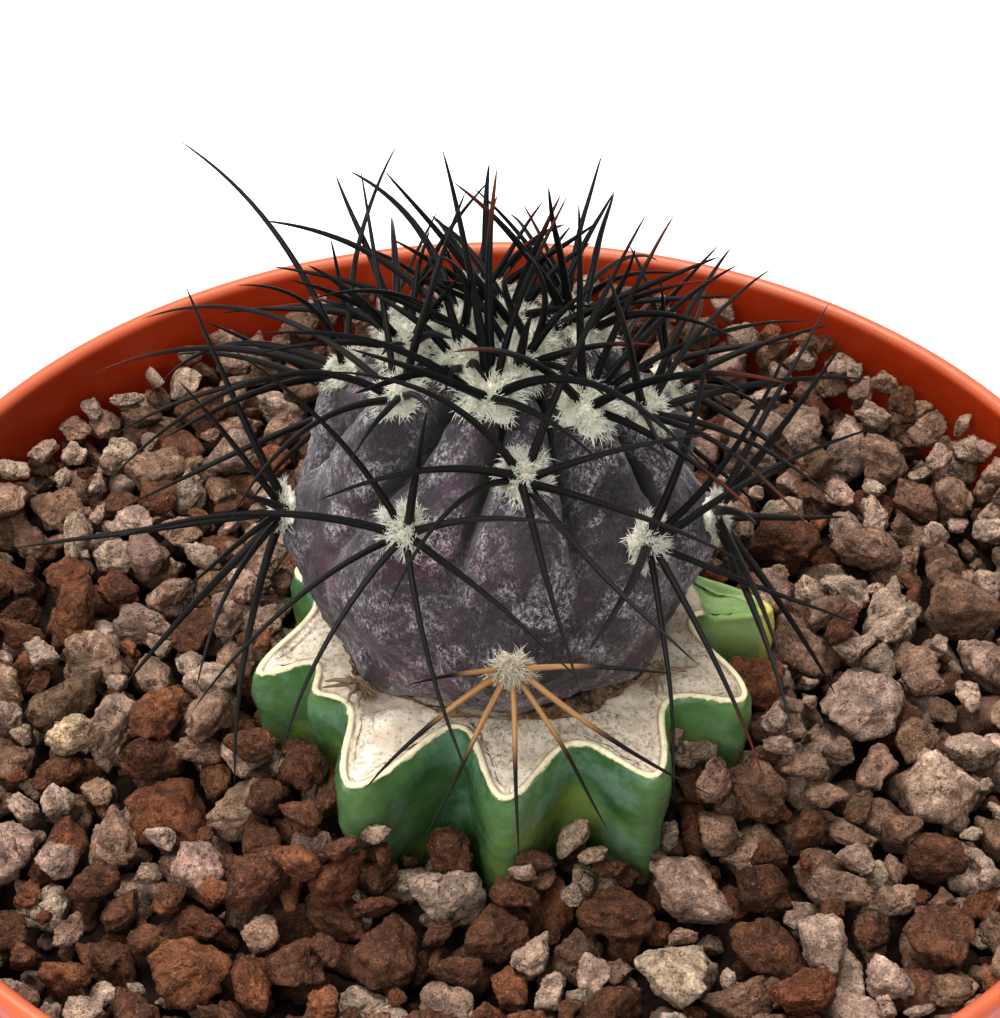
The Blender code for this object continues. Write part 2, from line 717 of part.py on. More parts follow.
def make_areole(name, rib, row, latitude, azimuth, field, skin):
    normal = outward(latitude, azimuth)
    az = math.radians(azimuth)
    side = Vector((math.cos(az), math.sin(az), 0))
    up = normal.cross(side) * -1
    if up.z < 0:
        up = -up
    pad_centre = skin_point(latitude, azimuth) + normal * (SEAT_GAP + PAD_THICKNESS / 2)
    frame = Matrix((side, up, normal)).transposed().to_4x4()
    bm = bmesh.new()
    bmesh.ops.create_icosphere(bm, subdivisions=2, radius=1.0)
    facings = [frame.to_3x3() @ f.calc_center_median().normalized() for f in bm.faces]
    squash = Matrix.Diagonal((PAD_RADIUS, PAD_RADIUS, PAD_THICKNESS / 2, 1))
    bmesh.ops.transform(bm, matrix=Matrix.Translation(pad_centre) @ frame @ squash, verts=bm.verts)
    top_faces = [(f, d) for f, d in zip(bm.faces, facings) if d.dot(normal) > 0.1]
    used = set()
    plan = HAND_SET_SPINES.get((rib, row)) or rule_spines(rib, row, latitude)
    planned = []
    for clock, lean, length, curl, sway in plan:
        for attempt in range(SPINE_TRIES):
            swing = (attempt + 1) // 2 * RETRY_SWING * (-1) ** attempt
            steeper = max(lean - attempt * RETRY_LEAN, LEAST_LEAN)
            tried = (clock + swing, steeper, length * (1 - RETRY_SHORTENING * attempt), curl, sway)
            start = spine_path(pad_centre, normal, up, side, tried)
            face = free_face(top_faces, (start[1] - start[0]).normalized(), used)
            path = spine_path(face.calc_center_median(), normal, up, side, tried)
            if field.keep_if_clear(path, rib * 3 + row):
                used.add(face)
                planned.append((face, path))
                break
    for face, path in planned:
        grow_spine(bm, face, path)
    add_object(name, bm, skin, math.radians(80))


def make_spines():
    field = SpineField()
    skin = material("spine_black", (0.02, 0.02, 0.022), 0.45)
    places = [(rib, row) for row in range(len(ROW_NAMES)) for rib in range(len(RIB_AREOLES))]
    for rib, row in sorted(places, key=lambda place: place not in HAND_SET_SPINES):
        latitude, azimuth = RIB_AREOLES[rib][row]
        make_areole(f"{ROW_NAMES[row]}_spines_{rib + 1}", rib, row, latitude, azimuth, field, skin)


def main():
    clear_scene()
    make_pot()
    make_gravel_bed()
    make_rootstock()
    make_scion()
    make_spines()


main()
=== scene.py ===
"""Looks of a potted round cactus: a dark ribbed globe grafted on a cut green stock, in volcanic gravel.

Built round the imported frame, in metres, +Z up. The front of the plant faces -Y.
Azimuths are in degrees round the plant, 0 at the front and 90 at +X. Latitudes rise to 90 at the crown.
"""

import math

import bmesh
import bpy
import numpy as np
from mathutils import Matrix, Vector


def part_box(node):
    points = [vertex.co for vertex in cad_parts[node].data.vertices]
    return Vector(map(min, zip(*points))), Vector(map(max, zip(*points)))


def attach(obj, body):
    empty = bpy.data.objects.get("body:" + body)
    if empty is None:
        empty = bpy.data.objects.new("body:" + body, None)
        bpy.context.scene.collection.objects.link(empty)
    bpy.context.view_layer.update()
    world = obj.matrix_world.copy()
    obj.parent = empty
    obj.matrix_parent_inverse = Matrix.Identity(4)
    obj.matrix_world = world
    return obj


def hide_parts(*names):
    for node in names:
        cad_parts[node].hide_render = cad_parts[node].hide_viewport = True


MM = 0.001

# Pot
RIM_BAND_HEIGHT = 12.0 * MM
RIM_BAND_STEP = 1.2 * MM
BAND_BEVEL = 0.4 * MM
LIP_THICKNESS = 1.5 * MM
POT_WALL = 1.1 * MM
FOOT_RADIUS = 35.5 * MM
FOOT_RING_WIDTH = 3.0 * MM
FLOOR_LIFT = 3.0 * MM
FLOOR_THICKNESS = 1.4 * MM
CENTRE_HOLE_RADIUS = 4.0 * MM
DRAIN_HOLE_RADIUS = 3.5 * MM
DRAIN_CIRCLE_RADIUS = 21.0 * MM
DRAIN_HOLE_COUNT = 6
POT_SEGMENTS = 256

# Gravel
HEADSPACE = 5.4 * MM
STONE_SHAPES = 60
LONG_STONE = 7
RED_STONES_CENTRE = (-13 * MM, -20 * MM)
RED_STONES_REACH = 22 * MM
STONE_CELL = 0.35 * MM
CREAM_STONE_SPOT = (-31.4 * MM, -6.8 * MM)
GRAVEL_SECTORS = 9
# Below the gravel's level: where the pile of stones starts, the soil's top, and the coarser hidden stones.
PILE_DEPTH = 4.6 * MM
SOIL_DEPTH = 4.3 * MM
SEEN_DEPTH = 3.2 * MM
# The bank against the stock: its height at the front tip in mm, its rise away from there, and its slope.
BANK_AT_TIP = 3.4
BANK_RISE = 2.9
BANK_SLOPE = 0.45

# Cut stock: (azimuth, reach, droop at the tip) for each rib, and (azimuth, depth) for each valley, in mm.
PLANT_AXIS = (0.2 * MM, -2.4 * MM)
CUT_ABOVE_RIM = 2.8 * MM
STOCK_RIBS = (
    (-75, 18.9, 2.2),
    (-63, 16.4, 1.2),
    (-32, 20.4, 0.7),
    (0, 18.9, 0.5),
    (33, 19.6, 0.6),
    (64, 19.5, 0.8),
    (100, 21.0, 2.2),
    (136, 18.6, 1.4),
    (174, 18.9, 1.2),
    (212, 18.4, 1.4),
    (248, 17.6, 1.2),
)
STOCK_VALLEYS = (
    (-70, 14.2),
    (-51, 14.6),
    (-15, 11.9),
    (21, 14.2),
    (54, 14.9),
    (89, 13.9),
    (118, 14.2),
    (155, 13.6),
    (193, 14.0),
    (230, 13.7),
    (264, 14.0),
)
STOCK_POINTS = 528
# Rounding of the rib tips in mm, what it takes off them as a share, and the steps that it covers.
CORNER_ROUNDING = 1.2
TIP_SPREAD = 0.035
SMOOTHING_STEPS = 20
# Share of the stock's radius that the stones keep clear of.
STOCK_EDGE_SHARE = 0.97
# The right-hand rib slopes away below the cut and keeps its green skin: azimuth, half width, start in mm.
GREEN_WING = (98, 17, 14.6)
WING_DROP = 0.9
WING_TIP_START = 19.0
# Rings of the cut's border, inwards of the outline, and of the skin below it, as (offset, drop) in mm.
BORDER_RINGS = ((1.05, 0.2), (0.85, 0.19), (0.74, 0.2), (0.66, 0.13), (0.56, 0.02), (0.45, -0.08),
                (0.33, -0.12), (0.22, -0.1), (0.12, -0.02), (0.04, 0.12))
SKIN_RINGS = ((0.0, 0.25), (0.06, 0.45), (0.16, 0.8), (0.3, 1.3), (0.4, 1.9), (0.44, 2.6), (0.42, 3.4),
              (0.36, 4.3), (0.28, 5.3), (0.2, 6.4), (0.1, 7.6))

# Grafted globe
GLOBE_RADIUS = 14.8 * MM
GLOBE_SEAT_DEPTH = 5.6 * MM
GLOBE_SHIFT = (-0.1 * MM, -1.8 * MM)
CROWN_FLATTENING = 0.97
SEAT_GAP = 0.3 * MM
RIB_COLUMNS = 34
GLOBE_ROWS = 190
RIB_AREOLES = (
    ((80, 25), (50, 9), (-1, 3)),
    ((61, 51), (24, 45), (-29, 53)),
    ((81, 112), (49, 76), (9, 80)),
    ((67, 114), (30, 114), (-27, 112)),
    ((79, 165), (48, 152), (5, 150)),
    ((65, 188), (28, 188), (-28, 188)),
    ((78, 234), (49, 224), (5, 222)),
    ((66, 262), (43, 253), (-25, 250)),
    ((79, 310), (61, 298), (11, 280)),
    ((71, 353), (33, 331), (-29, 315)),
)
# Depth of the broad furrows and of the sharp line in each, as shares of the radius.
FURROW_DEPTH = 0.15
FURROW_LINE_DEPTH = 0.07
# Swellings round each areole: degrees above it, half height, half width, and rise as a share of the radius.
AREOLE_SWELLINGS = (
    (-6, 14, 13, 0.042),
    (15, 6, 11, -0.045),
    (-12, 7, 10, 0.032),
    (9, 4, 12, -0.026),
)
ROW_NAMES = ("crown", "shoulder", "waist")


# Mesh helpers ---------------------------------------------------------------------------------------

def quick_mesh(name, points, faces):
    """Mesh from an array of points and an array of faces that all have the same number of corners."""
    points = np.asarray(points, dtype=np.float32)
    faces = np.asarray(faces, dtype=np.int32)
    mesh = bpy.data.meshes.new(name)
    mesh.vertices.add(len(points))
    mesh.vertices.foreach_set("co", points.ravel())
    mesh.loops.add(faces.size)
    mesh.loops.foreach_set("vertex_index", faces.ravel())
    mesh.polygons.add(len(faces))
    mesh.polygons.foreach_set("loop_start", np.arange(0, faces.size, faces.shape[1], dtype=np.int32))
    mesh.update(calc_edges=True)
    mesh.validate()
    mesh.shade_smooth()
    return mesh


def set_values(mesh, name, values):
    """Store one number, or one group of three, for each point of the mesh."""
    values = np.asarray(values, dtype=np.float32)
    kind, field = ("FLOAT_VECTOR", "vector") if values.ndim == 2 else ("FLOAT", "value")
    mesh.attributes.new(name, kind, "POINT").data.foreach_set(field, values.ravel())


def make_piece(name, mesh, finish, nodes=()):
    """Object for a mesh, riding on the pot and standing for the CAD nodes that it replaces."""
    piece = bpy.data.objects.new(name, mesh)
    bpy.context.scene.collection.objects.link(piece)
    mesh.materials.append(finish)
    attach(piece, "root")
    if nodes:
        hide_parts(*nodes)
    return piece


def grid_faces(rows, columns):
    """Faces that join each ring of points to the next, all the way round."""
    row, column = np.meshgrid(np.arange(rows - 1), np.arange(columns), indexing="ij")
    following = (column + 1) % columns
    faces = [row * columns + column, row * columns + following,
             (row + 1) * columns + following, (row + 1) * columns + column]
    return np.stack(faces, axis=-1).reshape(-1, 4)


def lathe(profile, segments):
    """Points and faces of a closed outline of (radius, height) turned round Z."""
    profile = np.asarray(profile)
    angles = np.linspace(0, 2 * math.pi, segments, endpoint=False)
    rings = np.stack([
        profile[:, :1] * np.cos(angles),
        profile[:, :1] * np.sin(angles),
        np.repeat(profile[:, 1:], segments, axis=1),
    ], axis=-1)
    rings = np.concatenate([rings, rings[:1]])
    points = rings[:-1].reshape(-1, 3)
    faces = grid_faces(len(rings), segments) % len(points)
    return points, faces


def ripples(points, size, seed, octaves=3, waves=10):
    """Smooth bumps, mostly between -1 and 1, of which the largest are about one size across."""
    rng = np.random.default_rng(seed)
    total = np.zeros(len(points))
    for octave in range(octaves):
        directions = rng.normal(size=(waves, 3))
        directions /= np.linalg.norm(directions, axis=1, keepdims=True)
        directions *= 2 * math.pi / size * 2 ** octave * rng.uniform(0.6, 1.4, (waves, 1))
        phases = rng.uniform(0, 2 * math.pi, waves)
        total += np.sin(points @ directions.T + phases).sum(axis=1) * 0.55 ** octave
    return total / math.sqrt(waves)


def smoothstep(x):
    x = np.clip(x, 0.0, 1.0)
    return x * x * (3.0 - 2.0 * x)


def ball(subdivisions):
    """Points and faces of a round ball of triangles, one unit in radius."""
    bm = bmesh.new()
    bmesh.ops.create_icosphere(bm, subdivisions=subdivisions, radius=1.0)
    bm.verts.ensure_lookup_table()
    points = np.array([tuple(v.co) for v in bm.verts])
    faces = np.array([[v.index for v in f.verts] for f in bm.faces])
    bm.free()
    return points, faces


# Material helpers -----------------------------------------------------------------------------------

class Finish:
    """A node material: one Principled shader, with short calls for the nodes that feed it."""

    def __init__(self, name, **plain):
        self.material = bpy.data.materials.new(name)
        self.material.use_nodes = True
        self.tree = self.material.node_tree
        self.shader = self.tree.nodes["Principled BSDF"]
        for socket, value in plain.items():
            self.shader.inputs[socket.replace("_", " ")].default_value = value

    def node(self, kind, **settings):
        made = self.tree.nodes.new("ShaderNode" + kind)
        for key, value in settings.items():
            setattr(made, key, value)
        return made

    def put(self, socket, value):
        """Link an output to a socket, or set the socket to a plain value."""
        if isinstance(value, bpy.types.NodeSocket):
            self.tree.links.new(value, socket)
        elif socket.type == "RGBA" and len(value) == 3:
            socket.default_value = (*value, 1.0)
        else:
            socket.default_value = value

    def value(self, name):
        """A number stored on the mesh's points."""
        return self.node("Attribute", attribute_name=name).outputs["Fac"]

    def vector(self, name):
        return self.node("Attribute", attribute_name=name).outputs["Vector"]

    def place(self):
        return self.node("TexCoord").outputs["Object"]

    def math(self, operation, first, second=0.0, clamp=False):
        made = self.node("Math", operation=operation, use_clamp=clamp)
        self.put(made.inputs[0], first)
        self.put(made.inputs[1], second)
        return made.outputs[0]

    def times(self, first, second):
        return self.math("MULTIPLY", first, second)

    def ramp(self, value, low, high, to_low=0.0, to_high=1.0):
        """Map a value from one range to another, with a soft start and end."""
        made = self.node("MapRange", interpolation_type="SMOOTHSTEP")
        for socket, number in zip(made.inputs, (value, low, high, to_low, to_high)):
            self.put(socket, number)
        return made.outputs[0]

    def noise(self, where, scale, detail=4.0, roughness=0.6, distortion=0.0):
        made = self.node("TexNoise")
        self.put(made.inputs["Vector"], where)
        for socket, number in (("Scale", scale), ("Detail", detail), ("Roughness", roughness),
                               ("Distortion", distortion)):
            made.inputs[socket].default_value = number
        return made.outputs["Fac"]

    def cells(self, where, scale, feature="F1", randomness=1.0):
        made = self.node("TexVoronoi", feature=feature)
        self.put(made.inputs["Vector"], where)
        made.inputs["Scale"].default_value = scale
        made.inputs["Randomness"].default_value = randomness
        return made.outputs["Distance"]

    def stretch(self, where, scale):
        made = self.node("Mapping")
        self.put(made.inputs["Vector"], where)
        made.inputs["Scale"].default_value = scale
        return made.outputs[0]

    def shift(self, where, offset):
        made = self.node("VectorMath", operation="ADD")
        self.put(made.inputs[0], where)
        self.put(made.inputs[1], offset)
        return made.outputs[0]

    def mix(self, share, first, second, blend="MIX"):
        made = self.node("Mix", data_type="RGBA", blend_type=blend)
        self.put(made.inputs["Factor"], share)
        self.put(made.inputs[6], first)
        self.put(made.inputs[7], second)
        return made.outputs[2]

    def group(self, tree, **values):
        made = self.node("Group", node_tree=tree)
        for key, value in values.items():
            self.put(made.inputs[key.replace("_", " ")], value)
        return made.outputs

    def bump(self, height, strength, distance, before=None):
        made = self.node("Bump")
        made.inputs["Strength"].default_value = strength
        made.inputs["Distance"].default_value = distance
        self.put(made.inputs["Height"], height)
        if before is not None:
            self.put(made.inputs["Normal"], before)
        return made.outputs[0]

    def finish(self, colour=None, roughness=None, normal=None):
        if colour is not None:
            self.put(self.shader.inputs["Base Color"], colour)
        if roughness is not None:
            self.put(self.shader.inputs["Roughness"], roughness)
        if normal is not None:
            self.put(self.shader.inputs["Normal"], normal)
        return self.material


class EffectGroup(Finish):
    """A shader node group with named sockets, built with the same short calls."""

    def __init__(self, name, inputs, outputs):
        self.tree = bpy.data.node_groups.new(name, "ShaderNodeTree")
        for label, kind, default in inputs:
            socket = self.tree.interface.new_socket(label, in_out="INPUT", socket_type="NodeSocket" + kind)
            if default is not None:
                socket.default_value = default
        for label, kind in outputs:
            self.tree.interface.new_socket(label, in_out="OUTPUT", socket_type="NodeSocket" + kind)
        self.source = self.tree.nodes.new("NodeGroupInput")
        self.result = self.tree.nodes.new("NodeGroupOutput")

    def given(self, label):
        return self.source.outputs[label]

    def give(self, label, value):
        self.put(self.result.inputs[label], value)


def make_speckle_group():
    """Two sizes of grain: a share of light flecks, a share of dark pits, and a height for the bump."""
    group = EffectGroup(
        "speckle",
        [("Place", "Vector", None), ("Grain Scale", "Float", 900.0), ("Pit Scale", "Float", 1600.0)],
        [("Flecks", "Float"), ("Pits", "Float"), ("Height", "Float")],
    )
    place = group.given("Place")
    grain = group.node("TexNoise")
    group.put(grain.inputs["Vector"], place)
    group.put(grain.inputs["Scale"], group.given("Grain Scale"))
    grain.inputs["Detail"].default_value = 5.0
    grain.inputs["Roughness"].default_value = 0.72
    pits = group.node("TexVoronoi")
    group.put(pits.inputs["Vector"], place)
    group.put(pits.inputs["Scale"], group.given("Pit Scale"))
    group.give("Flecks", group.ramp(grain.outputs["Fac"], 0.54, 0.7))
    group.give("Pits", group.ramp(pits.outputs["Distance"], 0.12, 0.38, 1.0, 0.0))
    hollow = group.ramp(pits.outputs["Distance"], 0.05, 0.45)
    group.give("Height", group.math("ADD", grain.outputs["Fac"], group.times(hollow, 0.35)))
    return group.tree


def make_mottle_group():
    """Soft patches that lighten and darken a colour, so that no surface is one flat tone."""
    group = EffectGroup(
        "mottle",
        [("Colour", "Color", (0.5, 0.5, 0.5, 1.0)), ("Place", "Vector", None),
         ("Scale", "Float", 300.0), ("Dark", "Float", 0.75), ("Light", "Float", 1.25)],
        [("Colour", "Color"), ("Patches", "Float")],
    )
    noise = group.node("TexNoise")
    group.put(noise.inputs["Vector"], group.given("Place"))
    group.put(noise.inputs["Scale"], group.given("Scale"))
    noise.inputs["Detail"].default_value = 4.0
    noise.inputs["Roughness"].default_value = 0.6
    amount = group.node("MapRange", interpolation_type="SMOOTHSTEP")
    group.put(amount.inputs["Value"], noise.outputs["Fac"])
    amount.inputs["From Min"].default_value = 0.3
    amount.inputs["From Max"].default_value = 0.7
    group.put(amount.inputs["To Min"], group.given("Dark"))
    group.put(amount.inputs["To Max"], group.given("Light"))
    scaled = group.node("VectorMath", operation="SCALE")
    group.put(scaled.inputs[0], group.given("Colour"))
    group.put(scaled.inputs["Scale"], amount.outputs[0])
    group.give("Colour", scaled.outputs[0])
    group.give("Patches", noise.outputs["Fac"])
    return group.tree


# Camera, floor and light ----------------------------------------------------------------------------

# From the middle of the rim, in mm, and the direction in which the camera looks.
CAMERA_PLACE = (0.0, -166.17, 152.90)
CAMERA_AIM = (-0.000125, 0.76066, -0.64915)
CAMERA_LENS = 105.0


def set_camera(rim_centre):
    lens = bpy.data.cameras.new("camera")
    lens.lens = CAMERA_LENS
    lens.sensor_width = 36.0
    lens.clip_start = 0.01
    lens.clip_end = 20.0
    camera = bpy.data.objects.new("camera", lens)
    camera.location = rim_centre + Vector(CAMERA_PLACE) * MM
    camera.rotation_euler = Vector(CAMERA_AIM).to_track_quat("-Z", "Y").to_euler()
    bpy.context.scene.collection.objects.link(camera)
    bpy.context.scene.camera = camera


def set_stage():
    bm = bmesh.new()
    bmesh.ops.create_circle(bm, cap_ends=True, segments=96, radius=6.0)
    mesh = bpy.data.meshes.new("studio_floor")
    bm.to_mesh(mesh)
    bm.free()
    finish = Finish("studio_white", Roughness=0.7)
    colour = finish.group(MOTTLE, Colour=(0.9, 0.9, 0.9, 1.0), Place=finish.place(), Scale=4.0,
                          Dark=0.99, Light=1.0)["Colour"]
    mesh.materials.append(finish.finish(colour))
    floor = bpy.data.objects.new("studio_floor", mesh)
    bpy.context.scene.collection.objects.link(floor)


def add_lamp(name, kind, energy, place, aim, colour=(1.0, 1.0, 1.0), **shape):
    data = bpy.data.lights.new(name, kind)
    data.energy = energy
    data.color = colour
    for key, value in shape.items():
        setattr(data, key, value)
    lamp = bpy.data.objects.new(name, data)
    lamp.location = place
    lamp.rotation_euler = (Vector(aim) - Vector(place)).to_track_quat("-Z", "Y").to_euler()
    bpy.context.scene.collection.objects.link(lamp)


def set_light():
    scene = bpy.context.scene
    scene.view_settings.view_transform = "Standard"
    scene.view_settings.look = "Medium High Contrast"
    world = bpy.data.worlds.new("studio")
    world.use_nodes = True
    background = world.node_tree.nodes["Background"]
    background.inputs["Color"].default_value = (0.96, 0.98, 1.0, 1.0)
    background.inputs["Strength"].default_value = 0.5
    scene.world = world
    add_lamp("overhead", "SUN", 3.5, (-0.14, 0.16, 1.0), (0, 0, 0), angle=math.radians(40))
    add_lamp("front_softbox", "AREA", 3.0, (-0.3, -0.5, 0.6), (0, 0, 0.09), shape="RECTANGLE",
             size=0.5, size_y=0.35)


# Pot ------------------------------------------------------------------------------------------------

def pot_profile(rim_radius, height):
    """Closed outline of the wall, rim band, rolled lip, floor and foot ring, as (radius, height)."""
    band = height - RIM_BAND_HEIGHT
    top = rim_radius - RIM_BAND_STEP
    inside = rim_radius - LIP_THICKNESS

    def wall(z):
        return FOOT_RADIUS + (top - FOOT_RADIUS) * z / band

    def arc(centre, radius, start, end, steps):
        turns = np.radians(np.linspace(start, end, steps))
        return [(centre[0] + radius * math.cos(a), centre[1] + radius * math.sin(a)) for a in turns]

    foot_round = 0.25 * MM
    lip = LIP_THICKNESS / 2
    under_lip = height - lip - 0.6 * MM
    floor_top = FLOOR_LIFT + FLOOR_THICKNESS
    floor_round = 1.5 * MM
    outline = [(FOOT_RADIUS - foot_round, 0.0)]
    outline += [(wall(z), z) for z in np.linspace(foot_round, band - BAND_BEVEL, 24)]
    outline += arc((rim_radius - BAND_BEVEL, band + BAND_BEVEL), BAND_BEVEL, -90, 0, 7)
    outline += [(rim_radius, z) for z in np.linspace(band + 1.5 * MM, under_lip, 5)]
    outline += arc((rim_radius - lip, height - lip), lip, 0, 180, 17)
    outline += [(inside, z) for z in np.linspace(under_lip, band, 6)]
    outline += [(wall(band - RIM_BAND_STEP) - POT_WALL, band - RIM_BAND_STEP)]
    outline += [(wall(z) - POT_WALL, z) for z in np.linspace(band - 3 * MM, floor_top + floor_round, 12)]
    outline += [(wall(floor_top) - POT_WALL - floor_round, floor_top), (CENTRE_HOLE_RADIUS, floor_top),
                (CENTRE_HOLE_RADIUS, FLOOR_LIFT), (FOOT_RADIUS - FOOT_RING_WIDTH - 1.0 * MM, FLOOR_LIFT),
                (FOOT_RADIUS - FOOT_RING_WIDTH, 0.0)]
    return outline


POT_ORANGE = (0.40, 0.040, 0.006)
# The next colour is a paler orange painted along the top of the lip: a painted highlight.
LIP_HIGHLIGHT_ORANGE = (0.47, 0.115, 0.048)
GRAVEL_DUST = (0.30, 0.17, 0.11)


def pot_finish(rim_radius, top):
    """Orange moulded plastic: painted highlight on the lip, faint flow marks, fine scuffs, and dust inside by
    the gravel.
    """
    finish = Finish("terracotta_plastic", Subsurface_Weight=0.12, Subsurface_Scale=0.002,
                    Subsurface_Radius=(1.0, 0.35, 0.12), IOR=1.47)
    place = finish.place()
    axes = finish.node("SeparateXYZ")
    finish.put(axes.inputs[0], place)
    height = axes.outputs["Z"]
    # Painted highlight: the top millimetre of the lip blends to a paler orange.
    lip_highlit = finish.mix(finish.ramp(height, top - 1.0 * MM, top), POT_ORANGE, LIP_HIGHLIGHT_ORANGE)
    base = finish.group(MOTTLE, Colour=lip_highlit, Place=finish.stretch(place, (1, 1, 0.3)), Scale=90.0,
                        Dark=0.92, Light=1.06)
    speckle = finish.group(SPECKLE, Place=place, Grain_Scale=900.0, Pit_Scale=2600.0)
    from_axis = finish.node("VectorMath", operation="LENGTH")
    finish.put(from_axis.inputs[0], finish.stretch(place, (1.0, 1.0, 0.0)))
    inside = finish.math("LESS_THAN", from_axis.outputs["Value"], rim_radius - LIP_THICKNESS + 0.1 * MM)
    band = top - RIM_BAND_HEIGHT
    gravel_line = finish.times(finish.ramp(height, top - 7.5 * MM, top - 1.2 * MM, 1.0, 0.0), inside)
    gravel_line = finish.times(gravel_line, finish.ramp(height, band, band + 1.0 * MM))
    dusty = finish.times(finish.times(speckle["Flecks"], gravel_line), 0.55)
    colour = finish.mix(dusty, base["Colour"], GRAVEL_DUST)
    scuffs = finish.noise(finish.stretch(place, (1, 1, 14)), 120.0, 3.0, 0.7)
    rough = finish.ramp(scuffs, 0.3, 0.7, 0.3, 0.46)
    rough = finish.math("ADD", rough, finish.times(dusty, 0.6))
    flow = finish.bump(finish.noise(finish.stretch(place, (1, 1, 6)), 160.0, 2.0), 0.12, 0.0003)
    return finish.finish(colour, rough, finish.bump(speckle["Height"], 0.06, 0.0001, flow))


def make_pot():
    low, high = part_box("pot")
    rim_radius = (high.x - low.x) / 2
    points, faces = lathe(pot_profile(rim_radius, high.z), POT_SEGMENTS)
    mesh = quick_mesh("pot_shell", points, faces[:, ::-1])
    pot = make_piece("pot_shell", mesh, pot_finish(rim_radius, high.z), ["pot"])
    bm = bmesh.new()
    for k in range(DRAIN_HOLE_COUNT):
        angle = 2 * math.pi * (k + 0.5) / DRAIN_HOLE_COUNT
        centre = (DRAIN_CIRCLE_RADIUS * math.cos(angle), DRAIN_CIRCLE_RADIUS * math.sin(angle), FLOOR_LIFT)
        bmesh.ops.create_cone(bm, cap_ends=True, segments=48, radius1=DRAIN_HOLE_RADIUS,
                              radius2=DRAIN_HOLE_RADIUS, depth=4 * FLOOR_THICKNESS,
                              matrix=Matrix.Translation(centre))
    drill_mesh = bpy.data.meshes.new("drain_drill")
    bm.to_mesh(drill_mesh)
    bm.free()
    drill = bpy.data.objects.new("drain_drill", drill_mesh)
    bpy.context.scene.collection.objects.link(drill)
    holes = pot.modifiers.new("drain_holes", "BOOLEAN")
    holes.object = drill
    drilled = bpy.data.meshes.new_from_object(pot.evaluated_get(bpy.context.evaluated_depsgraph_get()))
    pot.modifiers.clear()
    pot.data = drilled
    drilled.set_sharp_from_angle(angle=math.radians(35))
    bpy.data.objects.remove(drill, do_unlink=True)


# Gravel ---------------------------------------------------------------------------------------------

# Base colours of the stones: dark red-brown, brick, grey-brown, grey-beige, pink-beige and tan.
STONE_COLOURS = (
    (0.180, 0.080, 0.045),
    (0.265, 0.104, 0.052),
    (0.285, 0.165, 0.106),
    (0.600, 0.430, 0.320),
    (0.520, 0.350, 0.265),
    (0.430, 0.268, 0.186),
)
CREAM_STONE = (0.92, 0.66, 0.42)
STONE_FLECKS = (0.74, 0.58, 0.44)
STONE_PORES = (0.030, 0.016, 0.010)
STONE_PITS = (0.040, 0.020, 0.012)
STONE_RUST = (0.42, 0.17, 0.065)
SOIL_BROWN = (0.022, 0.012, 0.008, 1.0)
SOIL_FLECKS = (0.10, 0.055, 0.035)
# Share of the pot's area, round its middle, where no stone is dropped because the stock stands there.
OPEN_GROUND_START = 0.06


def stone_shape(directions, seed):
    """One rough stone: worn facets, hollows and lumps, about one unit in radius."""
    rng = np.random.default_rng(seed)
    facets = rng.normal(size=(rng.integers(8, 14), 3))
    facets /= np.linalg.norm(facets, axis=1, keepdims=True)
    depths = rng.uniform(0.66, 1.1, len(facets))
    facing = np.clip(directions @ facets.T / depths, 0.0, None)
    radius = ((facing ** 9).sum(axis=1) + 0.45 ** 9) ** (-1 / 9)
    radius = np.clip(radius, 0.55, 1.4)
    for _ in range(rng.integers(3, 8)):
        hollow = rng.normal(size=3)
        hollow /= np.linalg.norm(hollow)
        width = rng.uniform(0.16, 0.5)
        apart = np.arccos(np.clip(directions @ hollow, -1, 1))
        radius *= 1 - rng.uniform(0.08, 0.24) * np.exp(-(apart / width) ** 2)
    lumps = 0.06 * ripples(directions, 0.8, seed + 1, 3)
    radius *= 1 + lumps + 0.042 * ripples(directions, 0.34, seed + 2, 3)
    squash = np.array([1.0, rng.uniform(0.62, 0.95), rng.uniform(0.5, 0.8)])
    points = directions * radius[:, None] * squash
    return points / np.abs(points).max()


def turning(rng, tilt):
    """Random turn about Z after a random tilt, as a 3 by 3 array."""
    spin = Matrix.Rotation(rng.uniform(0, 2 * math.pi), 3, "Z")
    lean = Matrix.Rotation(rng.normal(0, tilt), 3, "X") @ Matrix.Rotation(rng.normal(0, tilt), 3, "Y")
    return np.array(spin @ lean @ Matrix.Rotation(rng.uniform(0, 2 * math.pi), 3, "Z"))


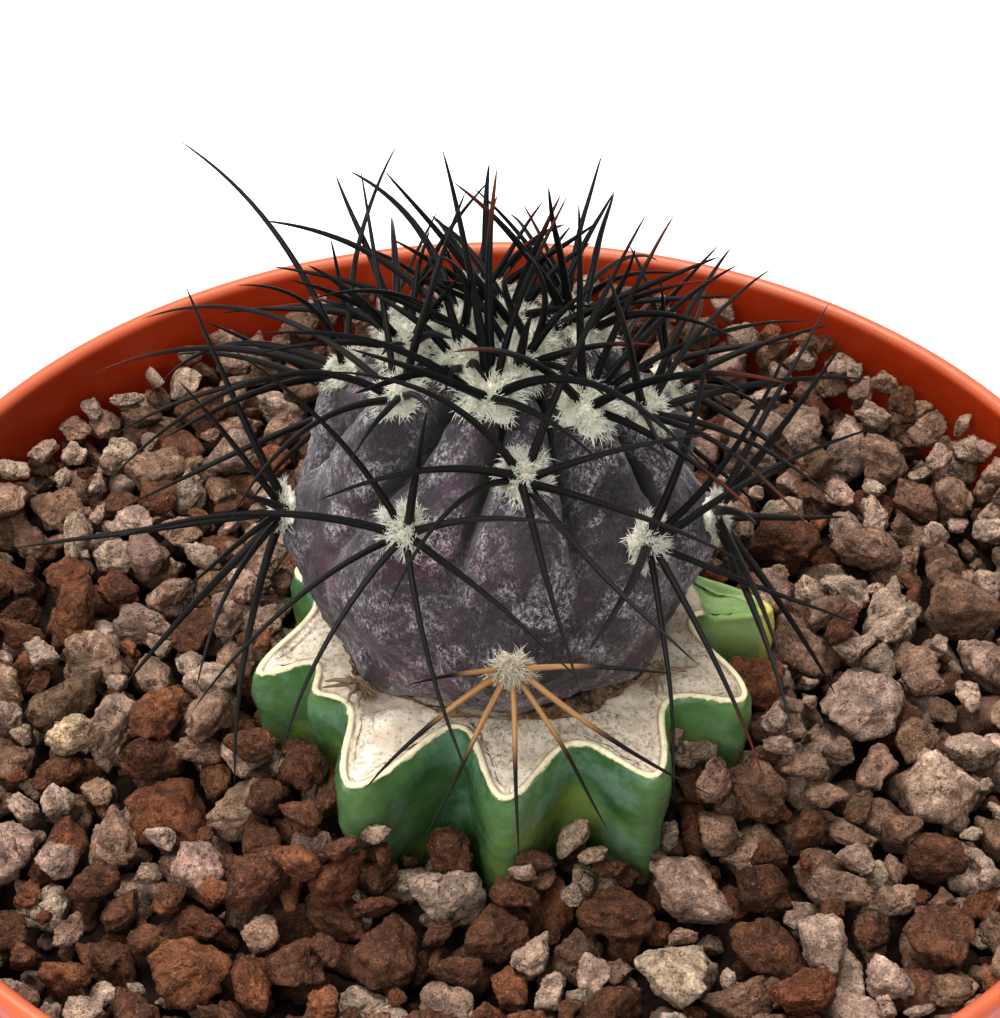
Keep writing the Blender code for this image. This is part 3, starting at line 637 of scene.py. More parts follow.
class StonePile:
    """Drops stones one by one on a map of heights, each where it comes to rest lowest."""

    def __init__(self, pot_radius, level, stock_edge, shapes):
        self.reach = pot_radius
        self.level = level
        self.stock_edge = stock_edge
        self.shapes = shapes
        self.rng = np.random.default_rng(21)
        self.placed = []
        self.cells = int(2 * pot_radius / STONE_CELL) + 9
        self.origin = -self.cells / 2 * STONE_CELL
        axis = self.origin + (np.arange(self.cells) + 0.5) * STONE_CELL
        x, y = np.meshgrid(axis, axis, indexing="ij")
        spots = np.stack([x.ravel(), y.ravel(), np.zeros(x.size)], axis=1)
        lumps = 0.5 * MM * ripples(spots, 9 * MM, 5, 2).reshape(x.shape)
        self.heights = level - PILE_DEPTH + lumps
        self.heights[np.hypot(x, y) > pot_radius] = 1.0
        from_axis = np.hypot(x - PLANT_AXIS[0], y - PLANT_AXIS[1])
        azimuth = np.degrees(np.arctan2(x - PLANT_AXIS[0], -(y - PLANT_AXIS[1])))
        self.heights[from_axis < stock_edge(azimuth)] = 1.0

    def footprint(self, points):
        """Lowest and highest surface of a stone over each cell that it covers."""
        half = int(np.abs(points[:, :2]).max() / STONE_CELL) + 2
        size = 2 * half + 1
        low = np.full((size, size), np.inf)
        high = np.full((size, size), -np.inf)
        column = np.floor(points[:, 0] / STONE_CELL + 0.5).astype(int) + half
        row = np.floor(points[:, 1] / STONE_CELL + 0.5).astype(int) + half
        np.minimum.at(low, (column, row), points[:, 2])
        np.maximum.at(high, (column, row), points[:, 2])
        for along in (0, 1):
            low = np.minimum(low, np.where(np.isinf(low), np.roll(low, 1, along), low))
            high = np.maximum(high, np.where(np.isinf(high), np.roll(high, 1, along), high))
        return low, high, half

    def ground(self, half, column, row):
        return self.heights[column - half:column + half + 1, row - half:row + half + 1]

    def rest_height(self, low, half, column, row):
        under = self.ground(half, column, row)
        if under.shape != low.shape:
            return np.inf
        return float(np.max(under - low))

    def open_spot(self):
        radius = self.reach * math.sqrt(self.rng.uniform(OPEN_GROUND_START, 1.0))
        angle = self.rng.uniform(0, 2 * math.pi)
        return radius * math.cos(angle), radius * math.sin(angle)

    def drop(self, low, half, tries, spot, rolls):
        """Lowest resting place out of several tries, each rolled downhill by a few cells."""
        best = (np.inf, 0, 0)
        for _ in range(tries):
            x, y = self.open_spot() if spot is None else spot
            column = int((x - self.origin) / STONE_CELL)
            row = int((y - self.origin) / STONE_CELL)
            height = self.rest_height(low, half, column, row)
            for _ in range(rolls):
                steps = [(self.rest_height(low, half, column + a, row + b), column + a, row + b)
                         for a, b in ((1, 0), (-1, 0), (0, 1), (0, -1))]
                lower = min(steps)
                if lower[0] >= height:
                    break
                height, column, row = lower
            if height < best[0]:
                best = (height, column, row)
        return best

    def hollow_under(self, best, low, half):
        """Mean empty height left under a stone at its resting place."""
        height, column, row = best
        gaps = height + low - self.ground(half, column, row)
        return float(np.mean(gaps[np.isfinite(low)]))

    def settle(self, half_length, tries, tallest, spot=None, colour=None, turn=None, shape=None,
               hollow=1.0, rolls=10):
        """Drop one stone; it stays if its top is low enough and little is empty under it."""
        shape = int(self.rng.integers(STONE_SHAPES)) if shape is None else shape
        turn = turning(self.rng, 0.5) if turn is None else turn
        stretch = self.rng.uniform(0.9, 1.1, 3) * half_length
        low, high, half = self.footprint((self.shapes[shape] * stretch) @ turn.T)
        best = self.drop(low, half, tries, spot, rolls)
        height, column, row = best
        limit = tallest + gravel_rise(self.origin + column * STONE_CELL, self.origin + row * STONE_CELL)
        if height + high[np.isfinite(high)].max() > limit:
            return False
        if not math.isfinite(height) or self.hollow_under(best, low, half) > hollow * 2 * half_length:
            return False
        under = self.ground(half, column, row)
        np.maximum(under, height + high, out=under)
        place = np.array([self.origin + (column + 0.5) * STONE_CELL, self.origin + (row + 0.5) * STONE_CELL,
                          height])
        colour = stone_colour(self.rng, place) if colour is None else colour
        self.placed.append((shape, turn, stretch, place, colour))
        return True

    def fill(self, count, smallest, largest, tries, tallest):
        """Stones over the open ground, until too many find no room."""
        misses = 0
        for _ in range(count):
            half_length = self.rng.uniform(smallest * MM, largest * MM) / 2
            if not self.settle(half_length, tries, self.level + tallest * MM):
                misses += 1
                if misses > 40:
                    return

    def ring(self, count, smallest, largest, tallest):
        """Stones dropped beside the wall, which open ground leaves bare."""
        for _ in range(count):
            half_length = self.rng.uniform(smallest * MM, largest * MM) / 2
            angle = self.rng.uniform(0, 2 * math.pi)
            reach = self.reach - half_length * self.rng.uniform(0.7, 1.3)
            spot = (reach * math.cos(angle), reach * math.sin(angle))
            self.settle(half_length, 1, self.level + tallest * MM, spot)

    def bank(self, count, smallest, largest, nearest, farthest):
        """Stones piled against the stock, higher than the rest and lower at its front tip."""
        for _ in range(count):
            azimuth = self.rng.uniform(0, 360)
            angle = math.radians(azimuth)
            away = self.rng.uniform(nearest, farthest)
            reach = float(self.stock_edge(azimuth)) + away * MM
            spot = (PLANT_AXIS[0] + reach * math.sin(angle), PLANT_AXIS[1] - reach * math.cos(angle))
            from_tip = abs((azimuth + 180) % 360 - 180)
            tallest = BANK_AT_TIP + BANK_RISE * float(smoothstep((from_tip - 14) / 12))
            tallest -= BANK_SLOPE * max(away - 2.5, 0)
            tallest -= gravel_rise(*spot) / MM
            half_length = self.rng.uniform(smallest * MM, largest * MM) / 2
            self.settle(half_length, 1, self.level + tallest * MM, spot, hollow=0.42, rolls=4)


def gravel_rise(x, y):
    """The gravel lies a little higher towards the back right."""
    return 2.3 * MM * float(smoothstep((x + 1.2 * y + 6 * MM) / (55 * MM)))


def stone_colour(rng, place):
    """Mostly red-brown stones beside the front left of the stock, and taupe and beige ones elsewhere."""
    apart = math.hypot(place[0] - RED_STONES_CENTRE[0], place[1] - RED_STONES_CENTRE[1])
    red = 0.20 + 0.62 * math.exp(-(apart / RED_STONES_REACH) ** 2)
    shares = np.array([0.66 * red, 0.34 * red, 0.22 * (1 - red), 0.28 * (1 - red), 0.27 * (1 - red),
                       0.23 * (1 - red)])
    colour = np.array(STONE_COLOURS[rng.choice(len(shares), p=shares / shares.sum())])
    return colour * rng.uniform(0.8, 1.22) * rng.uniform(0.97, 1.03, 3)


def stone_finish():
    """Porous volcanic stone: each stone's tint, worn pale crust, pores, mineral flecks and rust."""
    finish = Finish("volcanic_stone", Specular_IOR_Level=0.25)
    place = finish.shift(finish.place(), finish.vector("offset"))
    tint = finish.node("Attribute", attribute_name="tint").outputs["Color"]
    mottled = finish.group(MOTTLE, Colour=tint, Place=place, Scale=480.0, Dark=0.62, Light=1.35)
    grain = finish.group(SPECKLE, Place=place, Grain_Scale=3600.0, Pit_Scale=4300.0)
    coarse = finish.noise(place, 1500.0, 6.0, 0.78)
    hollows = finish.noise(place, 1000.0, 5.0, 0.7, 0.9)
    brighter = finish.mix(1.0, mottled["Colour"], (2.0, 1.95, 1.9), "MULTIPLY")
    worn = finish.times(finish.ramp(coarse, 0.46, 0.64), 0.75)
    colour = finish.mix(worn, mottled["Colour"], brighter)
    colour = finish.mix(finish.times(grain["Flecks"], 0.4), colour, STONE_FLECKS)
    pores = finish.ramp(hollows, 0.34, 0.45, 1.0, 0.0)
    colour = finish.mix(finish.times(pores, 0.75), colour, STONE_PORES)
    colour = finish.mix(finish.times(grain["Pits"], 0.6), colour, STONE_PITS)
    rusty = finish.times(finish.ramp(finish.noise(place, 900.0, 4.0, 0.7), 0.56, 0.7), 0.35)
    colour = finish.mix(rusty, colour, STONE_RUST)
    rough = finish.ramp(coarse, 0.3, 0.7, 0.8, 0.98)
    deep = finish.bump(finish.ramp(hollows, 0.3, 0.62), 1.0, 0.0008)
    lumps = finish.bump(coarse, 1.0, 0.0007, deep)
    return finish.finish(colour, rough, finish.bump(grain["Height"], 0.9, 0.0003, lumps))


def pile_stones(stock_edge, shapes):
    """All the stones, as (shape, turn, stretch, place, colour). Sizes and heights are in mm."""
    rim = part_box("pot")[1]
    pile = StonePile(rim.x - LIP_THICKNESS - 0.15 * MM, rim.z - HEADSPACE, stock_edge, shapes)
    pile.fill(420, 3.6, 6.8, 24, -0.6)
    pile.fill(300, 1.8, 3.0, 40, -1.2)
    pile.ring(500, 2.6, 5.0, 0.8)
    pile.fill(520, 3.8, 7.4, 26, 1.9)
    pile.fill(260, 2.6, 4.4, 34, 1.4)
    pile.ring(600, 2.2, 4.4, 1.8)
    pile.bank(1800, 3.0, 6.2, 1.5, 8.0)
    pile.bank(2600, 2.4, 4.4, 1.0, 7.0)
    pile.bank(3600, 2.0, 3.4, 0.6, 5.0)
    pile.settle(2.6 * MM, 1, pile.level + 4 * MM, CREAM_STONE_SPOT, np.array(CREAM_STONE),
                np.array(Matrix.Rotation(math.radians(18), 3, "Z")), LONG_STONE)
    pile.fill(400, 1.6, 2.8, 40, 0.7)
    return pile


def make_gravel(stock_edge):
    """The stones in sectors round the pot, finer where they are seen, over a body of soil."""
    fine, fine_faces = ball(4)
    rough, rough_faces = ball(3)
    seeds = [40 + 7 * k for k in range(STONE_SHAPES)]
    shapes = [(stone_shape(fine, seed), stone_shape(rough, seed)) for seed in seeds]
    pile = pile_stones(stock_edge, [coarse for _, coarse in shapes])
    finish = stone_finish()
    groups = [[] for _ in range(GRAVEL_SECTORS)]
    for stone in pile.placed:
        azimuth = math.degrees(math.atan2(stone[3][0], -stone[3][1])) % 360
        groups[int(azimuth / 360 * GRAVEL_SECTORS)].append(stone)
    for k, stones in enumerate(groups):
        points, faces, tints, offsets, count = [], [], [], [], 0
        for shape, turn, stretch, place, colour in stones:
            detail = 0 if place[2] > pile.level - SEEN_DEPTH else 1
            body = shapes[shape][detail] * stretch @ turn.T + place
            points.append(body)
            faces.append((fine_faces, rough_faces)[detail] + count)
            count += len(body)
            tints.append(np.repeat(colour[None], len(body), axis=0))
            offsets.append(np.repeat(pile.rng.uniform(-1, 1, (1, 3)), len(body), axis=0))
        mesh = quick_mesh(f"gravel_{k + 1}", np.concatenate(points), np.concatenate(faces))
        set_values(mesh, "tint", np.concatenate(tints))
        set_values(mesh, "offset", np.concatenate(offsets))
        make_piece(f"gravel_{k + 1}", mesh, finish)
    make_soil(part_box("gravel_bed")[0].z, pile.level - SOIL_DEPTH)


def soil_finish():
    finish = Finish("dark_soil", Specular_IOR_Level=0.2)
    place = finish.place()
    base = finish.group(MOTTLE, Colour=SOIL_BROWN, Place=place, Scale=400.0, Dark=0.4, Light=1.6)
    grain = finish.group(SPECKLE, Place=place, Grain_Scale=1200.0, Pit_Scale=900.0)
    colour = finish.mix(finish.times(grain["Flecks"], 0.3), base["Colour"], SOIL_FLECKS)
    return finish.finish(colour, finish.ramp(base["Patches"], 0.3, 0.7, 0.9, 1.0),
                         finish.bump(grain["Height"], 0.9, 0.0006))


def make_soil(bottom, top):
    """Filled body under the loose stones, with a lumpy top."""
    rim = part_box("pot")[1]
    band = rim.z - RIM_BAND_HEIGHT
    gap = 0.45 * MM
    wide = rim.x - LIP_THICKNESS - gap
    slope = (rim.x - RIM_BAND_STEP - FOOT_RADIUS) / band

    def narrow(z):
        return FOOT_RADIUS + slope * z - POT_WALL - gap

    profile = [(0.5 * MM, bottom), (narrow(bottom) - 1.5 * MM, bottom), (narrow(bottom), bottom + 1.5 * MM)]
    profile += [(narrow(z), z) for z in np.linspace(bottom + 8 * MM, band - RIM_BAND_STEP, 8)]
    profile += [(wide, band + 0.2 * MM), (wide, top)]
    profile += [(r, top) for r in np.linspace(wide - 0.6 * MM, 0.5 * MM, 60)]
    points, faces = lathe(profile, 240)
    upper = points[:, 2] > top - 0.01 * MM
    inner = upper & (np.hypot(points[:, 0], points[:, 1]) < wide - 0.3 * MM)
    points[inner, 2] += 0.45 * MM * ripples(points[inner], 5 * MM, 9, 3)
    make_piece("soil_under_gravel", quick_mesh("soil_under_gravel", points, faces[:, ::-1]), soil_finish(),
               ["gravel_bed"])


# Cut stock ------------------------------------------------------------------------------------------

def rib_slope(share):
    """Share of the way from a rib's blunt tip down to its round valley."""
    return 0.35 * math.sin(math.pi / 2 * share) ** 0.95 + 0.65 * (1 - math.cos(math.pi * share)) / 2


def rough_outline(steps):
    """Outline of the cut: azimuth, radius and droop, from rib tip to valley and up to the next tip."""
    rows = []
    count = len(STOCK_RIBS)
    for k in range(count):
        tip_azimuth, reach, droop = STOCK_RIBS[k]
        next_azimuth, next_reach, next_droop = STOCK_RIBS[(k + 1) % count]
        valley_azimuth, depth = STOCK_VALLEYS[k]
        next_azimuth += 360 if k == count - 1 else 0
        for share in np.arange(steps) / steps:
            fall = rib_slope(share)
            rows.append((tip_azimuth + (valley_azimuth - tip_azimuth) * share,
                         reach + (depth - reach) * fall, droop * (1 - fall)))
        for share in np.arange(steps) / steps:
            rise = 1 - rib_slope(1 - share)
            rows.append((valley_azimuth + (next_azimuth - valley_azimuth) * share,
                         depth + (next_reach - depth) * rise, next_droop * rise))
    return np.array(rows)


def stock_outline():
    """Even steps round the cut: place in mm from the stock's axis, outward direction and droop."""
    rows = rough_outline(60)
    angle = np.radians(rows[:, 0])
    track = np.stack([rows[:, 1] * np.sin(angle), -rows[:, 1] * np.cos(angle), rows[:, 2]], axis=1)
    wobble = np.concatenate([track[:, :2], np.zeros((len(track), 1))], axis=1)
    track[:, :2] *= (1 + 0.006 * ripples(wobble, 5.0, 3, 2))[:, None]
    steps = np.linalg.norm(np.diff(track[:, :2], axis=0, append=track[:1, :2]), axis=1)
    length = np.concatenate([[0], np.cumsum(steps)])
    even = np.linspace(0, length[-1], STOCK_POINTS, endpoint=False)
    closed = np.vstack([track, track[:1]])
    track = np.stack([np.interp(even, length, closed[:, k]) for k in range(3)], axis=1)
    outer = smoothstep((np.linalg.norm(track[:, :2], axis=1) - 15.5) / 3)
    track[:, :2] *= (1 + TIP_SPREAD * outer)[:, None]
    reach = CORNER_ROUNDING / (length[-1] / STOCK_POINTS)
    shifts = np.arange(-SMOOTHING_STEPS, SMOOTHING_STEPS + 1)
    window = np.exp(-0.5 * (shifts / reach) ** 2)
    window /= window.sum()
    track = sum(weight * np.roll(track, shift, axis=0) for weight, shift in zip(window, shifts))
    ahead = np.roll(track, -3, axis=0)[:, :2] - np.roll(track, 3, axis=0)[:, :2]
    outward = np.stack([ahead[:, 1], -ahead[:, 0]], axis=1)
    outward /= np.linalg.norm(outward, axis=1, keepdims=True)
    return track[:, :2], outward, track[:, 2]


def make_stock_edge():
    """Radius of the stock at any azimuth, for the stones to keep clear of."""
    rows = rough_outline(12)
    azimuths = np.concatenate([rows[:, 0] - 360, rows[:, 0], rows[:, 0] + 360])
    radii = np.tile(rows[:, 1], 3) * MM
    return lambda azimuth: np.interp(azimuth, azimuths, radii) * STOCK_EDGE_SHARE


SKIN_DARK, SKIN_LIGHT = (0.058, 0.145, 0.052), (0.130, 0.255, 0.090)
SKIN_BLOOM = (0.215, 0.350, 0.265)
SKIN_YELLOW = (0.38, 0.47, 0.095)
SKIN_SPECKS = (0.28, 0.38, 0.20)
RIB_PALE = (0.24, 0.36, 0.150)
WING_GREEN, WING_TIP = (0.34, 0.45, 0.165), (0.80, 0.66, 0.13)
CORK_PALE, CORK_TAN = (0.90, 0.80, 0.65), (0.72, 0.60, 0.46)
CORK_STAIN = (0.60, 0.46, 0.32)
# The next colour darkens the cut face towards the right (+X).
CORK_RIGHT_DARK = (0.44, 0.35, 0.25)
CORK_MOULD = (0.13, 0.105, 0.085)
CORK_CRACKS = (0.24, 0.17, 0.11)
CORK_PITS, CORK_FLECKS = (0.20, 0.15, 0.11), (0.97, 0.92, 0.82)
EDGE_CREAM, EDGE_STRAW = (0.88, 0.80, 0.55), (0.70, 0.60, 0.37)
EDGE_LINE = (0.28, 0.18, 0.09)


def green_skin(finish, place, wing):
    """Waxy green with a blue bloom, yellower low down, on the rib tips and on the right-hand wing."""
    patches = finish.noise(place, 160.0, 4.0, 0.6)
    skin = finish.mix(finish.ramp(patches, 0.35, 0.68), SKIN_DARK, SKIN_LIGHT)
    bloom = finish.times(finish.ramp(finish.noise(place, 260.0, 5.0, 0.65), 0.44, 0.66), 0.65)
    skin = finish.mix(bloom, skin, SKIN_BLOOM)
    yellow = finish.times(finish.ramp(finish.noise(place, 120.0, 3.0, 0.55), 0.5, 0.64),
                          finish.ramp(finish.value("depth"), 2.0, 6.0))
    skin = finish.mix(finish.times(yellow, 0.6), skin, SKIN_YELLOW)
    skin = finish.mix(finish.times(wing, 0.8), skin, WING_GREEN)
    skin = finish.mix(finish.ramp(wing, 1.2, 1.9), skin, WING_TIP)
    skin = finish.mix(finish.times(finish.ramp(finish.value("rib"), 0.55, 1.0), 0.35), skin, RIB_PALE)
    specks = finish.ramp(finish.cells(place, 1400.0), 0.05, 0.16, 1.0, 0.0)
    return finish.mix(finish.times(specks, 0.25), skin, SKIN_SPECKS)


def dry_cork(finish, place, inward):
    """Colour of the dry cut face, with stains, darker towards the right, mould and grit, and its cracks'
    mask.
    """
    cork = finish.mix(finish.ramp(finish.noise(place, 420.0, 5.0, 0.65), 0.35, 0.65), CORK_PALE, CORK_TAN)
    stain = finish.times(finish.ramp(finish.noise(place, 230.0, 5.0, 0.65), 0.46, 0.64), 0.6)
    cork = finish.mix(stain, cork, CORK_STAIN)
    axes = finish.node("SeparateXYZ")
    finish.put(axes.inputs[0], place)
    # Darker brown-grey towards the right (+X), from 4 mm to 17 mm across, at half strength.
    right_darkening = finish.times(finish.ramp(axes.outputs["X"], 4 * MM, 17 * MM), 0.5)
    cork = finish.mix(right_darkening, cork, CORK_RIGHT_DARK)
    damp = finish.ramp(finish.noise(place, 170.0, 4.0, 0.6), 0.40, 0.58, 0.12, 1.0)
    mould = finish.times(finish.ramp(finish.noise(place, 2300.0, 7.0, 0.8), 0.50, 0.60), damp)
    cork = finish.mix(finish.times(mould, 0.62), cork, CORK_MOULD)
    wander = finish.noise(place, 240.0, 4.0, 0.6)
    spread = finish.shift(finish.vector("radial"), finish.mix(1.0, wander, (0.9, 0.9, 0.9), "MULTIPLY"))
    cracks = finish.ramp(finish.cells(spread, 1.3, "DISTANCE_TO_EDGE"), 0.0, 0.022, 1.0, 0.0)
    cracks = finish.times(cracks, finish.ramp(inward, 0.5, 0.9))
    cracks = finish.times(cracks, finish.ramp(wander, 0.45, 0.6))
    cork = finish.mix(finish.times(cracks, 0.25), cork, CORK_CRACKS)
    grit = finish.group(SPECKLE, Place=place, Grain_Scale=3000.0, Pit_Scale=2300.0)
    cork = finish.mix(finish.times(grit["Pits"], 0.45), cork, CORK_PITS)
    return finish.mix(finish.times(grit["Flecks"], 0.4), cork, CORK_FLECKS), cracks


def stock_finish():
    """Green skin and dry cork, with a pale edge between them that has a thin brown line on its inside."""
    finish = Finish("green_stock", Subsurface_Weight=0.08, Subsurface_Scale=0.0012,
                    Subsurface_Radius=(0.5, 1.0, 0.25), IOR=1.42)
    place = finish.place()
    inward = finish.value("inward")
    wing = finish.value("wing")
    fine = finish.noise(place, 1500.0, 5.0, 0.7)
    skin = green_skin(finish, place, wing)
    cork, cracks = dry_cork(finish, place, inward)
    edge = finish.mix(finish.ramp(fine, 0.35, 0.7), EDGE_CREAM, EDGE_STRAW)
    line = finish.ramp(finish.math("ABSOLUTE", finish.math("SUBTRACT", inward, 0.58)), 0.02, 0.12, 1.0, 0.0)
    top = finish.mix(finish.ramp(inward, 0.42, 0.56), edge, cork)
    top = finish.mix(finish.times(line, 0.6), top, EDGE_LINE)
    ragged = finish.times(finish.math("SUBTRACT", finish.noise(place, 700.0, 5.0, 0.7), 0.5), 0.4)
    border = finish.ramp(finish.math("ADD", inward, ragged), 0.02, 0.1)
    border = finish.times(border, finish.ramp(inward, 0.0, 0.02))
    border = finish.times(border, finish.ramp(wing, 0.05, 0.4, 1.0, 0.0))
    colour = finish.mix(border, skin, top)
    rough = finish.math("ADD", finish.times(border, 0.45), finish.ramp(fine, 0.3, 0.7, 0.18, 0.36))
    wrinkles = finish.bump(finish.noise(place, 330.0, 4.0, 0.55), 0.35, 0.0004)
    cracked = finish.bump(finish.times(cracks, -1.0), 0.6, 0.0003, wrinkles)
    return finish.finish(colour, rough, finish.bump(finish.times(fine, border), 0.6, 0.0002, cracked))


def stock_rings(foot):
    """Rings of the stock from the cut's middle down to its foot: points in mm, inward and depth values."""
    outline, outward, droop = stock_outline()
    rings, inward_rows, depth_rows = [], [], []

    def ring(scale, offset, drop, droop_share, inward):
        """One ring: the outline scaled about the axis, then moved outwards by an offset."""
        flat = outline * scale + outward * offset
        rings.append(np.column_stack([flat, -(drop + droop * droop_share)]))
        inward_rows.append(np.full(len(flat), inward))
        depth_rows.append(np.full(len(flat), drop))

    for scale in np.linspace(0.3, 0.93, 26):
        ring(scale, -0.3, 0.22, float(smoothstep((scale - 0.62) / 0.38)), 1.5)
    for offset, drop in BORDER_RINGS:
        ring(1.0, -offset, drop, 1.0, offset)
    for offset, drop in SKIN_RINGS:
        ring(1.0 - 0.003 * drop, offset, drop, 1 - 0.04 * drop, 0.0)
    for drop in np.linspace(9, 36, 14):
        ring(0.97 - 0.15 * (drop - 9) / 27, 0.1, drop, 0.6 * (1 - (drop - 9) / 27), 0.0)
    for scale, drop in ((0.74, foot - 1.5), (0.49, foot), (0.1, foot)):
        ring(scale, 0.0, drop, 0.0, 0.0)
    radius = np.linalg.norm(outline, axis=1)
    rib = np.clip((radius - radius.min()) / (radius.max() - radius.min()), 0, 1)
    return (np.concatenate(rings), np.concatenate(inward_rows), np.concatenate(depth_rows),
            np.tile(rib, len(rings)), len(rings))


def reach_of(points):
    return np.hypot(points[:, 0], points[:, 1])


def slope_wing(points, depth):
    """Let the right-hand rib slope away below the cut. Returns 1 on it, rising to 2 at its tip."""
    azimuth, half_width, start = GREEN_WING
    turned = (np.degrees(np.arctan2(points[:, 0], -points[:, 1])) - azimuth + 180) % 360 - 180
    wing = np.exp(-(turned / half_width) ** 4)
    wing *= smoothstep((reach_of(points) - start) / 1.6)
    points[:, 2] -= WING_DROP * wing * smoothstep((8 - depth) / 8)
    return wing * (1 + smoothstep((reach_of(points) - WING_TIP_START) / 1.8))


def make_stock():
    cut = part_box("pot")[1].z + CUT_ABOVE_RIM
    points, inward, depth, rib, count = stock_rings((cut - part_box("rootstock")[0].z) / MM)
    wing = slope_wing(points, depth)
    on_face = inward > 0.6
    points[on_face, 2] += 0.16 * ripples(points[on_face], 3.2, 31, 4)
    on_skin = (inward <= 0.0) & (depth < 12)
    points[on_skin, :2] *= (1 + 0.006 * ripples(points[on_skin], 4.0, 33, 3))[:, None]
    radial = np.column_stack([np.degrees(np.arctan2(points[:, 0], -points[:, 1])) / 6.0,
                              reach_of(points) * 0.25, np.zeros(len(points))])
    world_points = points * MM + np.array([PLANT_AXIS[0], PLANT_AXIS[1], cut])
    mesh = quick_mesh("cut_stock", world_points, grid_faces(count, STOCK_POINTS)[:, ::-1])
    values = {"inward": inward, "depth": depth, "rib": rib, "radial": radial, "wing": wing}
    for name, numbers in values.items():
        set_values(mesh, name, numbers)
    make_piece("cut_stock", mesh, stock_finish(), ["rootstock"])


# Globe ----------------------------------------------------------------------------------------------

def globe_centre():
    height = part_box("pot")[1].z + CUT_ABOVE_RIM + GLOBE_RADIUS - GLOBE_SEAT_DEPTH
    return np.array([GLOBE_SHIFT[0], GLOBE_SHIFT[1], height])


def outward(latitude, azimuth):
    lat, az = np.radians(latitude), np.radians(azimuth)
    return np.stack([np.cos(lat) * np.sin(az), -np.cos(lat) * np.cos(az), np.sin(lat)], axis=-1)


def crest_azimuths(latitude):
    """Azimuth of each rib's crest at a latitude: a rib wanders from areole to areole."""
    crests = []
    for rib in RIB_AREOLES:
        lats = [lat for lat, _ in reversed(rib)]
        azimuths = [az for _, az in reversed(rib)]
        crests.append(float(np.interp(latitude, lats, azimuths)))
    return crests


def globe_grid(latitudes):
    """Azimuths of the grid: even columns from each rib's crest to the next, at every latitude."""
    count = len(RIB_AREOLES)
    shares = np.arange(RIB_COLUMNS) / RIB_COLUMNS
    rows = []
    for latitude in latitudes:
        crests = crest_azimuths(latitude)
        row = [crests[k] + ((crests[(k + 1) % count] - crests[k]) % 360) * shares for k in range(count)]
        rows.append(np.concatenate(row))
    return np.array(rows), np.tile(np.concatenate([k + shares for k in range(count)]), (len(latitudes), 1))


def globe_radius(latitude, azimuth, place):
    """Distance of the skin from the centre, and how deep it lies in a furrow."""
    lat = np.radians(latitude)
    flattening = np.where(latitude > 0, CROWN_FLATTENING, 1.0)
    flat = 1 / np.hypot(np.cos(lat), np.sin(lat) / flattening)
    crease = 1 - np.abs(np.cos(np.pi * place)) ** 0.8
    fade = 0.2 + 0.8 * smoothstep((latitude - 2) / 46)
    radius = flat * (1 - FURROW_DEPTH * fade * crease)
    sharp = np.exp(-((place - np.floor(place) - 0.5) / 0.07) ** 2) * smoothstep((latitude + 8) / 45)
    radius -= FURROW_LINE_DEPTH * sharp
    for rib in RIB_AREOLES:
        for areole_lat, areole_az in rib:
            across = (azimuth - areole_az + 180) % 360 - 180
            across *= math.cos(math.radians(areole_lat))
            near = np.abs(across) < 45
            for above, half_height, half_width, rise in AREOLE_SWELLINGS:
                up = (latitude - areole_lat - above) / half_height
                radius += near * rise * np.exp(-(up ** 2) - (across / half_width) ** 2)
    return GLOBE_RADIUS * radius, np.clip(crease * fade + sharp, 0, 1)


GLOBE_DARK, GLOBE_PLUM = (0.008, 0.006, 0.008), (0.029, 0.018, 0.025)
GLOBE_MAGENTA = (0.105, 0.022, 0.056)
GLOBE_GREEN = (0.022, 0.036, 0.017)
# Near-black painted shade for the furrows.
GLOBE_CREASE_SHADE = (0.010, 0.009, 0.008)
GLOBE_VEIL = (0.22, 0.185, 0.205)
GLOBE_BLOOM, GLOBE_FLECKS = (0.56, 0.51, 0.535), (0.80, 0.76, 0.78)
GLOBE_PITS = (0.014, 0.010, 0.012)


